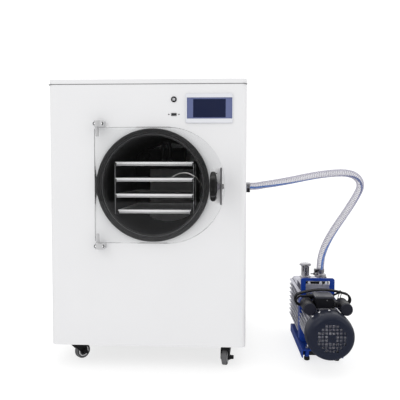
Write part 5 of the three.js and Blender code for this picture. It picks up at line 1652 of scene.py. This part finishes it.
def caster_wheel():
    half = TREAD / 2
    tread = [
        (WHEEL - 5, 1.2 - half), (WHEEL - 1.6, 1.4 - half), (WHEEL - 0.3, 2.8 - half), (WHEEL, 4.5 - half)
    ]
    dish = [
        (5.2, -half - 0.7), (8.6, -half - 0.7), (9.4, 0.8 - half), (12, 2 - half), (16, 1.6 - half),
        (WHEEL - 5.4, 0.6 - half), (WHEEL - 4.4, 0.9 - half), (WHEEL - 4.4, 2 - half),
    ]
    solids = []
    for profile, material in ((tread, tread_grey), (dish, wheel_gloss)):
        mirrored_half = [(radius, -across) for radius, across in reversed(profile)]
        solids.append((turned("x", axle_at, profile + mirrored_half, 64), material))
    # A pale satin ring on each face of the wheel is painted highlight, for the bright arc that the glossy
    # wheel mirrors.
    for side in (-1, 1):
        glint_ring = [(12.4, -1.2), (13.4, 0.3), (16, 0.5), (17.2, -0.4), (17.2, -2.4), (12.4, -2.4)]
        glint_ring = [(radius, side * (half + out)) for radius, out in glint_ring]
        solids.append((turned("x", axle_at, glint_ring, 64), painted_glint_ring))
    return solids


print("wheel:", 2 * WHEEL, "mm over its tread")

# %% Brake lever
def brake_pedal(side):
    """A disc on the axle with a ribbed pad, on one side of the wheel."""
    inner = CHEEK_OUT + 1.3
    disc = [(0, 0), (7.4, 0), (8, 0.6), (8, 2), (7, 2.5), (0, 2.5)]
    disc = [(radius, side * (inner + out)) for radius, out in disc]
    pad = [(-5, -4), (5, -4), (5, 4.5), (3.5, 6), (-3.5, 6), (-5, 4.5)]
    pad = [(TRAIL + u, WHEEL + w) for u, w in pad]
    pad_x = sorted((side * (inner + 1), side * (inner + 12)))
    solids = [turned("x", axle_at, disc, 40), pushed("x", pad, *pad_x)]
    rib_x = sorted((side * (inner + 9), side * (inner + 12)))
    for k in range(3):
        z = WHEEL - 3 + 3 * k
        solids.append(slab(*rib_x, TRAIL - 5.4, TRAIL + 5.4, z, z + 1.4))
    return made_of(caster_nylon, *solids)


print("brake:", len(brake_pedal(1)), "solids")

# %% Four casters in their corners
INSET_X, INSET_Y = 57, 64
CASTERS = {  # side, at the back or not, angle in degrees, and the brake's side
    "front_left": (-1, False, -45, 1), "front_right": (1, False, 170, -1),
    "rear_left": (-1, True, 20, 0), "rear_right": (1, True, -15, 0),
}


def spun(solid, x, y, angle):
    """A solid in a caster's own axes, turned about its swivel and set in its corner."""
    c, s = cos(radians(angle)), sin(radians(angle))
    corners, faces = solid
    return [(x + u * c - v * s, y + u * s + v * c, w) for u, v, w in corners], faces


for name, (side, rear, angle, brake) in CASTERS.items():
    x, y = side * (HALF_WIDTH - INSET_X), DEPTH - INSET_Y if rear else INSET_Y
    groups = [
        ("caster_fork", caster_fork(), "black_plastic"),
        ("caster_wheel", caster_wheel(), "caster_tread"),
    ]
    if brake:
        groups.append(("brake_lever", brake_pedal(brake), "black_plastic"))
    for kind, parts, slot in groups:
        node = f"{kind}_{name}"
        parts = [(spun(solid, x, y, angle), material) for solid, material in parts]
        build(f"{kind}_piece_{name}", parts, slot, node, body=node, bevel=0.5, smooth=40)
print("casters:", len(CASTERS), "and two brakes")

# %% [markdown]
# ## The pump: castings and base
# The blue pieces are painted castings, so their edges are softer than those of sheet.
# A wider bevel of three steps says this better than a sharper shape with more detail.
# The base stands on four turned rubber feet, and a black bar across its front paints
# the shade inside its channel.

# %% Blue base and bracket on rubber feet
pump_blue = finish(
    "pump_blue", (0.002, 0.036, 0.27), 0.4, coat=0.1, grain=0.03, size=1.6, spread=0.1, smudges=0.1,
    dust=0.03, specular=0.3,
)
foot_rubber = finish("foot_rubber", (0.012, 0.012, 0.012), 0.6, grain=0.02, size=0.8, dust=0.3)
refined("pump_base_casting", "pump_base", pump_blue, "pump_blue_paint", 1.2, segments=3)
refined("pump_bracket_casting", "pump_bracket", pump_blue, "pump_blue_paint", 1.8, segments=3)
for i in range(1, 5):
    x, y, _ = middle(f"pump_foot_{i}")
    top = extent(f"pump_foot_{i}")[1].z
    profile = [(0, 0), (7.4, 0), (8.6, 0.8), (9, 2.2), (9, 8.4), (8.2, top), (0, top)]
    foot = turned("z", (x, y, 0), profile, 40)
    build(f"rubber_foot_{i}", [(foot, foot_rubber)], "black_rubber", f"pump_foot_{i}", bevel=0.3)
print("base, bracket and four feet")

# %% Base bolts, and a black crossbar that paints the shade inside the base
base_low, base_high = extent("pump_base")
bolt_y = (base_low.y + 18, base_high.y - 23)
base_bolts = [((x, y, base_high.z), UP) for x in (base_low.x + 18.5, base_high.x - 18.5) for y in bolt_y]
screws("base_bolts", socket_screw, screw_steel, base_bolts)
# The black bar inside the base is partly a crossbar and partly painted shade for the dark inside of the
# channel.
BAR_THICK, SHEET_GAP = 4, 3.3
bar_y = base_low.y + 24
bar = slab(
    base_low.x + SHEET_GAP, base_high.x - SHEET_GAP, bar_y, bar_y + BAR_THICK, base_low.z + 0.5,
    base_high.z - SHEET_GAP,
)
build("base_crossbar", [(bar, black_paint)], "black_steel", bevel=0.4)
bar_bolts = [((x, bar_y, middle("pump_base").z), FRONT) for x in (base_low.x + 16, base_high.x - 16)]
screws("crossbar_bolts", small_screw, painted_glint_white, bar_bolts)
print(len(base_bolts), "base bolts and", len(bar_bolts), "in the crossbar")

# %% [markdown]
# ## Oil case
# The oil case is bare aluminium with nine fins along both sides, so its section is
# one outline pushed from front to back. The gaps between real fins are deep, and
# shade makes them nearly blue-black. Deeper gaps would break the true box of the
# solid, so the faces between the fins are coloured blue-black instead: painted
# shade. A cover, a sight glass, a drain plug and a filler cap are what one sees from
# behind.

# %% Finned casting
case_metal = finish("case_metal", (0.62, 0.62, 0.69), 0.42, metal=0.5, grain=0.05, size=1.2, spread=0.08)
fin_shade = finish("fin_shade", (0.012, 0.016, 0.06), 0.5, metal=0.2, grain=0.03, size=1.2)
case_low, case_high = extent("oil_case")
case_x = middle("oil_case").x
FIN, FIN_FOOT, CASE_FINS, FINS_LOW, FINS_PITCH = 60, 49, 9, 66, 15.8
HEAD_LENGTH, HEAD_TOP, REAR_TOP = 104, 222, 204
FILLER_X, FILLER_Y, SHADE_TOP = 40, 280, 210


def case_outline(top):
    """Half of the section goes up one side past the fins, and its mirror comes down."""
    edge = [(FIN_FOOT, case_low.z)]
    for i in range(CASE_FINS):
        z = FINS_LOW + i * FINS_PITCH - 1.75
        edge += [(FIN_FOOT, z - 0.5), (FIN, z + 0.6), (FIN, z + 2.9), (FIN_FOOT, z + 4)]
    edge += [(FIN_FOOT, top - 6), (FIN_FOOT - 6, top)]
    return [(case_x + dx, z) for dx, z in edge] + [(case_x - dx, z) for dx, z in reversed(edge)]


head_back = case_low.y + HEAD_LENGTH
filler_at = (case_x + FILLER_X, FILLER_Y, 0)
casting = build("oil_case_casting", made_of(
    case_metal, pushed("y", case_outline(HEAD_TOP), case_low.y, head_back),
    pushed("y", case_outline(REAR_TOP), head_back, case_high.y), rod("z", filler_at, 10, 219, 224, 32),
), "pump_aluminium", "oil_case", bevel=0.4)
# Faces between the fins and on their undersides take fin_shade: painted shade.
casting.data.materials.append(fin_shade)
for face in casting.data.polygons:
    reach = abs(face.center.x - at(case_x, 0, 0).x) / MM
    between = FIN_FOOT - 1 < reach < FIN - 1 and face.center.z < SHADE_TOP * MM
    if between and (face.normal.z < -0.5 or abs(face.normal.x) > 0.9):
        face.material_index = 1
print(sum(face.material_index for face in casting.data.polygons), "faces between the fins")

# %% End cover with its drain plug and sight glass
cast_metal = finish("cast_metal", (0.55, 0.55, 0.58), 0.4, metal=0.9, grain=0.05, size=1.4, spread=0.08)
case_back = case_high.y
end_plate = slab(case_x - 44, case_x + 44, case_back - 2, case_back + 0.6, case_low.z + 8, 198)
sight_at, drain_at = (case_x, case_back, 112), (case_x, case_back, 58)
sight = [(0, 1.6), (14, 1.6), (14, 2.6), (16.5, 2.6), (18, 1.4), (18, -2), (0, -2)]
drain = [(0, -2), (11, -2), (11, 2), (8.6, 2), (8.6, 7), (0, 7)]
build("case_end_cover", [
    (end_plate, cast_metal),
    *made_of(screw_steel, turned("y", sight_at, sight, 48), turned("y", drain_at, drain, 6)),
], "pump_aluminium", bevel=0.5)
glass = clear_wall("sight_glass", (0.5, 0.42, 0.2), 0.75, 0.2, 0.08)
lens = turned("y", sight_at, [(0, 2.2), (13.6, 1.9), (13.6, 0), (0, 0)], 48)
build("oil_sight_glass", [(lens, glass)], "clear_acrylic")
cover_screws = [((case_x + dx, case_back + 0.6, z), BACK) for dx in (-37, 37) for z in (58, 102, 146, 190)]
screws("case_cover_screws", socket_screw, screw_steel, cover_screws)
print("oil case, mm:", [round(v) for v in case_high - case_low])

# %% Filler cap and head fittings
filler = [(0, 220), (10.6, 220), (10.6, 229), (9.2, 230), (9.2, 231), (0, 231)]
filler_cap = turned("z", filler_at, filler, 40)
build("oil_filler_cap", [(filler_cap, switch_black)], "black_plastic", bevel=0.4)
HEAD_BOLTS = (-40, -24, 14, 32)
stud = [(0, 221), (4.6, 221), (4.6, 227), (3, 229), (3, 234), (0, 234)]
head_parts = [(slab(case_x - 44, case_x + 42, 196, 203, 221, 230), black_paint)]
head_parts += [(turned("z", (case_x + dx, 191, 0), stud, 24), painted_glint_white) for dx in HEAD_BOLTS]
build("pump_head_fittings", head_parts, "zinc_steel", bevel=0.4)
print(len(HEAD_BOLTS), "studs on the head")

# %% [markdown]
# ## Motor
# The motor's housing is extruded, with cooling fins along its whole length, so one
# outline of thirty-four rounded fins pushed from end to end is the real thing. An end
# bell closes its front, the shaft runs through to the fan, and a pad on top carries
# the terminal box.

# %% Finned housing, end bell, shaft and pad
motor_metal = finish("motor_metal", (0.62, 0.62, 0.66), 0.4, metal=0.85, grain=0.03, size=1.2, spread=0.06)
cover_low, cover_high = extent("motor_fan_cover")
MOTOR_X, MOTOR_Z = PUMP_X, 117
MOTOR_R, CORE_R, FINS = 66, 57, 34
HALF_FIN = [(0.06, MOTOR_R), (0.11, MOTOR_R - 0.6), (0.17, CORE_R + 1), (0.30, CORE_R)]
fin = [(-share, radius) for share, radius in reversed(HALF_FIN)] + HALF_FIN
outline = []
for i in range(FINS):
    for share, radius in fin:
        turn = tau * (i + share) / FINS + pi / 2
        outline.append((MOTOR_X + radius * cos(turn), MOTOR_Z + radius * sin(turn)))
housing = pushed("y", outline, cover_high.y + 0.3, motor_high.y)
bell_r = (cover_high.x - cover_low.x) / 2 - 2.4
bell = [(0, -12), (bell_r, -12), (bell_r, 1), (CORE_R, 2.4), (0, 2.4)]
bell = turned("y", (MOTOR_X, cover_high.y, MOTOR_Z), bell, 64)
shaft = [(0, motor_low.y), (5.4, motor_low.y), (6, motor_low.y + 0.8), (6, cover_high.y), (0, cover_high.y)]
shaft = turned("y", (MOTOR_X, 0, MOTOR_Z), shaft, 24)
pad = slab(MOTOR_X - 24, MOTOR_X + 24, 18, 78, MOTOR_Z + CORE_R - 2, motor_high.z)
build(
    "motor_body", [(housing, motor_metal), (bell, cast_metal), (shaft, screw_steel), (pad, motor_metal)],
    "pump_aluminium", "motor_housing", bevel=0.3, smooth=30,
)
print("motor:", FINS, "fins")

# %% [markdown]
# ## Perforated fan cover
# The cover is deep drawn from one sheet, with a field of square holes in its flat
# face. The holes follow a rule: a square grid, of which only the places between one
# and four pitches from the middle are punched. So a tree lays the grid, drops the
# places outside this band, and cuts a small block through the sheet at every other.
# Holes painted on a flat disc would be lighter, but light really falls through these
# on the fan behind, and their edges show the thickness of the sheet.

# %% A tree that punches square holes
def punched_tree():
    tree, given, made = geometry_tree("Square Perforations", [
        ("Centre", "Vector", (0, 0, 0)), ("Rows", "Int", 8), ("Pitch", "Float", 0.01),
        ("Hole", "Float", 0.006), ("Depth", "Float", 0.01), ("Finish", "Material", None),
    ])
    rows, pitch, hole = given["Rows"], given["Pitch"], given["Hole"]
    width = maths(tree, "MULTIPLY", maths(tree, "SUBTRACT", rows, 1.0), pitch)
    grid = wired(tree, "GeometryNodeMeshGrid", {
        "Size X": width, "Size Y": width, "Vertices X": rows, "Vertices Y": rows,
    })
    place = tree.nodes.new("GeometryNodeInputPosition")
    reach = wired(tree, "ShaderNodeVectorMath", {0: place.outputs[0]}, operation="LENGTH").outputs["Value"]
    near = maths(tree, "LESS_THAN", reach, pitch)
    far = maths(tree, "GREATER_THAN", reach, maths(tree, "MULTIPLY", pitch, 4.0))
    kept = wired(tree, "GeometryNodeDeleteGeometry", {
        "Geometry": grid.outputs["Mesh"], "Selection": maths(tree, "MAXIMUM", near, far),
    })
    block = wired(tree, "ShaderNodeCombineXYZ", {"X": hole, "Y": hole, "Z": given["Depth"]})
    cube = wired(tree, "GeometryNodeMeshCube", {"Size": block.outputs[0]})
    inputs = {"Points": kept.outputs[0], "Instance": cube.outputs[0]}
    punches = wired(tree, "GeometryNodeInstanceOnPoints", inputs)
    stood = wired(tree, "GeometryNodeTransform", {
        "Geometry": punches.outputs[0], "Translation": given["Centre"], "Rotation": (pi / 2, 0, 0),
    })
    real = wired(tree, "GeometryNodeRealizeInstances", {"Geometry": stood.outputs[0]})
    inputs = {0: given["Geometry"], 1: real.outputs[0]}
    cut = wired(tree, "GeometryNodeMeshBoolean", inputs, operation="DIFFERENCE")
    return ended(tree, given, made, cut.outputs[0])


punches = punched_tree()
print("tree:", punches.name)

# %% Fan cover
cover_black = finish(
    "cover_black", (0.01, 0.014, 0.032), 0.36, coat=0.1, grain=0.02, spread=0.15, smudges=0.2, dust=0.04,
    specular=0.35,
)
COVER_R, COVER_RIM, COVER_SHEET = (cover_high.x - cover_low.x) / 2, 21, 2
PUNCH_ROWS, PUNCH_PITCH, PUNCH_HOLE, PUNCH_DEPTH = 8, 10.4, 7.2, 12
flat, rim = COVER_R - COVER_RIM, cover_high.y - cover_low.y
dome = [
    (0, 0), (flat - 1.8, 0), (flat - 0.6, 0.5), (flat + 1.4, 0), (flat + 6, 1.4), (flat + 11, 3.8),
    (COVER_R - 6, 8.4), (COVER_R - 3, 13), (COVER_R - 1.2, 20), (COVER_R - 0.4, 29),
]
skirt = [(COVER_R, 34), (COVER_R, rim), (COVER_R - COVER_SHEET, rim)]
lining = [(max(radius - COVER_SHEET, 0), along + COVER_SHEET) for radius, along in reversed(dome)]
drawn_sheet = turned("y", (MOTOR_X, cover_low.y, MOTOR_Z), [*dome, *skirt, *lining], 96)
blank, _ = solid_mesh("cover_blank", [(drawn_sheet, cover_black)], at)
cover = grown(
    "fan_cover_perforated", blank, punches, Centre=tuple(at(MOTOR_X, cover_low.y, MOTOR_Z)), Rows=PUNCH_ROWS,
    Pitch=PUNCH_PITCH * MM, Hole=PUNCH_HOLE * MM, Depth=PUNCH_DEPTH * MM, Finish=cover_black,
)
carry(cover, "machine", "black_plastic", "motor_fan_cover")
print("fan cover:", len(cover.data.polygons), "faces")

# %% Screws in the fan cover
rim_screws = []
for turn in (133, 114, 90, 210, 330):
    c, s = cos(radians(turn)), sin(radians(turn))
    rim_screws.append(((MOTOR_X + COVER_R * c, cover_high.y - 12, MOTOR_Z + COVER_R * s), (c, 0, s)))
screws("cover_screws", cross_screw, painted_glint_white, rim_screws)
screws("cover_middle_screw", small_screw, black_oxide, [((MOTOR_X, cover_low.y, MOTOR_Z), FRONT)])
print(len(rim_screws) + 1, "screws")

# %% The fan behind the cover
blower_plastic = finish("blower_plastic", (0.86, 0.85, 0.93), 0.4, grain=0.015, dust=0.2)
BLOWER_R, VANES = 54, 9
blower_y = middle("motor_fan").y
wheel = [(6.5, -12), (14, -12), (16, -9), (17, 6), (BLOWER_R, 9), (BLOWER_R, 11), (17, 12), (6.5, 12)]
blower = [turned("y", (MOTOR_X, blower_y, MOTOR_Z), wheel, 64)]
for k in range(VANES):
    c, s = cos(tau * k / VANES), sin(tau * k / VANES)
    vane = [(16, -0.9), (BLOWER_R, -0.9), (BLOWER_R, 0.9), (16, 0.9)]
    vane = [(MOTOR_X + u * c - v * s, MOTOR_Z + u * s + v * c) for u, v in vane]
    blower.append(pushed("y", vane, blower_y - 11, blower_y + 9.4))
blower = made_of(blower_plastic, *blower)
build("motor_blower", blower, "black_plastic", "motor_fan", body="motor_fan", bevel=0.3)
print("blower:", VANES, "vanes")

# %% [markdown]
# ## Terminal box, switch and capacitors
# The box on the motor holds the wiring. A stepped lid overhangs it, screws hold the
# lid, and a cord gland and a round start switch stand at its sides. The two round cans
# in the corners between box and motor are its start and run capacitors.

# %% Terminal box
box_black = finish(
    "box_black", (0.006, 0.006, 0.01), 0.4, grain=0.03, size=0.9, spread=0.12, dust=0.03, specular=0.35
)
lid_grey = finish(
    "lid_grey", (0.035, 0.037, 0.05), 0.34, grain=0.02, size=0.9, spread=0.1, smudges=0.25, dust=0.08
)
BOX_X, BOX_HALF, BOX_FRONT, BOX_DEPTH, LID_OVER = 532.5, 27, 20, 56, 2
x0, x1, y0, y1 = BOX_X - BOX_HALF, BOX_X + BOX_HALF, BOX_FRONT, BOX_FRONT + BOX_DEPTH
base, top = box_low.z, box_high.z
shell = pushed("z", rounded(x0, x1, y0, y1, 4, 8), base, top - 7)
seal = pushed("z", rounded(x0 + 0.8, x1 - 0.8, y0 + 0.8, y1 - 0.8, 4, 8), top - 7.5, top - 5.5)
brim = rounded(x0 - LID_OVER, x1 + LID_OVER, y0 - LID_OVER, y1 + LID_OVER, 5, 8)
crown = rounded(x0 + 0.4, x1 - 0.4, y0 + 0.4, y1 - 0.4, 4, 8)
lid = lofted("z", (0, 0, 0), [(top - 6, brim), (top - 1.4, brim), (top, crown)])
gland_nut = [(0, -9), (5, -9), (6.4, -8), (6.4, -2), (7.4, -2), (7.4, 1), (0, 1)]
gland_nut = turned("x", (x0, 62, base + 26.5), gland_nut, 24)
switch_at = (x1 + 8, y0, base + 10)
switch_end = BOX_DEPTH - 8
switch_shell = [(0, 4), (8.2, 4), (9, 5), (9, switch_end), (0, switch_end)]
switch_button = [(0, 2.2), (6.6, 2.2), (7.4, 3), (7.4, 6), (0, 6)]
box_parts = [
    (shell, box_black), (seal, cord_rubber), (lid, lid_grey),
    *made_of(box_black, gland_nut, turned("y", switch_at, switch_shell, 40)),
    (turned("y", switch_at, switch_button, 40), switch_black),
    (slab(x1 + 5.6, x1 + 10.4, y0 + 1.4, y0 + 4, base + 3.6, base + 16.4), box_black),
]
build("terminal_box_case", box_parts, "black_plastic", "terminal_box", bevel=0.4)
lid_screws = [((x, y, top), UP) for x in (x0 + 5, x1 - 5) for y in (y0 + 5, y1 - 5)]
screws("box_lid_screws", small_screw, screw_steel, lid_screws)
screws("box_front_screw", small_screw, screw_steel, [((BOX_X + 7, y0, base + 24), FRONT)])
print("terminal box:", round(x1 - x0), "by", round(top - base), "mm")

# %% Capacitors
can_black = finish(
    "can_black", (0.007, 0.006, 0.01), 0.38, grain=0.012, size=0.8, spread=0.12, dust=0.03, specular=0.35
)
can_face = finish(
    "can_face", (0.014, 0.015, 0.028), 0.42, grain=0.012, size=0.8, spread=0.12, dust=0.02, specular=0.35
)
for name in ("left", "right"):
    node = f"capacitor_{name}"
    low, high = extent(node)
    x, _, z = middle(node)
    r, length = (high.x - low.x) / 2, high.y - low.y
    can_at = (x, low.y, z)
    end = [(0, 0.6), (r - 5, 0.6), (r - 5, 0), (r - 2.6, 0), (r - 1, 1.4), (r - 0.6, 7), (0, 7)]
    can = [(0, 6.4), (r, 6.4), (r, length - 3), (r - 3, length), (0, length)]
    strap = [(r - 0.2, 46), (r + 0.25, 46), (r + 0.25, 56), (r - 0.2, 56)]
    build(f"capacitor_can_{name}", [
        (turned("y", can_at, end, 56), can_face), (turned("y", can_at, can, 56), can_black),
        (turned("y", can_at, strap, 56), can_face),
    ], "black_plastic", node, bevel=0.4)
print("two capacitors,", round(2 * r), "mm")

# %% [markdown]
# ## Pump connections and hose clamps
# Vacuum fittings are turned from bar, so their profiles have the flanges and grooves
# of real ones. A worm-drive clamp is a thin band with a housing and a screw across it.

# %% Inlet and exhaust
fitting_steel = finish("fitting_steel", (0.68, 0.67, 0.7), 0.24, metal=1.0, grain=0.006, dust=0.05)
INLET_FOOT = [
    (0, 0), (19, 0), (19, 4), (17.5, 5.4), (13, 7), (13, 12), (19, 13.4), (20, 14.4), (20, 17.4), (19, 18),
    (19, 18.6), (20, 19.2), (20, 21.6), (18.6, 22.6),
]
EXHAUST_FOOT = [
    (0, 0), (16, 0), (16, 9), (15, 10), (18, 11.4), (19, 12.4), (19, 15), (18, 16), (13.5, 18),
]
EXHAUST_CAP = [
    (13.5, -14), (14.5, -12.4), (17, -10.6), (20, -9), (20, -7.4), (18.6, -4.6), (15, -2.2), (9, -0.6),
    (0, 0),
]


def port(name, node, foot, cap):
    """Turned over its solid: the foot is measured from its base and the cap from its top."""
    low, high = extent(node)
    x, y, _ = middle(node)
    profile = [(radius, low.z + up) for radius, up in foot] + [(radius, high.z + up) for radius, up in cap]
    build(name, [(turned("z", (x, y, 0), profile, 72), fitting_steel)], "stainless_steel", node, bevel=0.3)
    return x, y, high.z


PX, PY, inlet_top = port("pump_inlet", "inlet_port", INLET_FOOT, [(12.5, -3), (12.5, 0), (0, 0)])
EX, EY, exhaust_top = port("pump_exhaust", "exhaust_port", EXHAUST_FOOT, EXHAUST_CAP)
print("inlet and exhaust, tops at", round(inlet_top), "and", round(exhaust_top), "mm")

# %% Exhaust slots in painted shade, and wing nut
SLOT_R, SLOT_LOW, SLOT_HIGH = 13.2, -30, -15
# Black rods and a strip in place of the cap's open slots: painted shade.
slots = [slab(EX - 1.6, EX + 1.6, EY - 13.9, EY - 12.8, exhaust_top - 30, exhaust_top - 16)]
for turn in (50, 130, 230, 310):
    slot_at = (EX + SLOT_R * cos(radians(turn)), EY + SLOT_R * sin(radians(turn)), exhaust_top)
    slots.append(rod("z", slot_at, 1.5, SLOT_LOW, SLOT_HIGH, 12))
build("exhaust_slots", made_of(black_oxide, *slots), "black_steel")
wing_stud = rod("x", (EX, EY - 8, exhaust_top - 38), 2.2, 17, 30, 16)
wing = slab(EX + 26, EX + 33, EY - 9, EY - 7, exhaust_top - 42, exhaust_top - 34)
build("exhaust_wing_nut", [(wing_stud, screw_steel), (wing, black_oxide)], "zinc_steel", bevel=0.4)
print("exhaust:", len(slots), "slots")

# %% Worm-drive clamps on both ends of the hose
clamp_steel = finish("clamp_steel", (0.5, 0.5, 0.53), 0.3, metal=1.0, grain=0.006, size=0.8, spread=0.08)
CLAMP_X, BAND, WORM = 311, 0.9, [(0, -17), (4.4, -17), (4.4, -11), (3, -11), (3, 12), (0, 12)]


def hose_clamp(name, axis, centre, width, housing, worm_at):
    """A band round the hose, the housing beside it and the worm screw through that."""
    inside = HOSE_RADIUS + 0.2
    strip = [
        (inside, -width / 2), (inside + BAND, 0.3 - width / 2), (inside + BAND, width / 2 - 0.3),
        (inside, width / 2),
    ]
    build(name, [
        *made_of(clamp_steel, turned(axis, centre, strip, 64), housing),
        (turned("y", worm_at, WORM, 24), black_oxide),
    ], "chrome_fittings", bevel=0.4)


_, y, z = hose_points[0]
low_z = z - HOSE_RADIUS - 4
hose_clamp(
    "hose_clamp_cabinet", "x", (CLAMP_X, y, z), 12,
    slab(CLAMP_X - 6.5, CLAMP_X + 6.5, y - 9, y + 9, low_z - 4, low_z + 4), (CLAMP_X, y, low_z),
)
beside, above_port = PX - HOSE_RADIUS - 4, inlet_top + 5
hose_clamp(
    "hose_clamp_pump", "z", (PX, PY, above_port), 11,
    slab(beside - 4, beside + 4, PY - 9, PY + 9, above_port - 6.5, above_port + 6.5),
    (beside, PY, above_port),
)
print("two hose clamps")
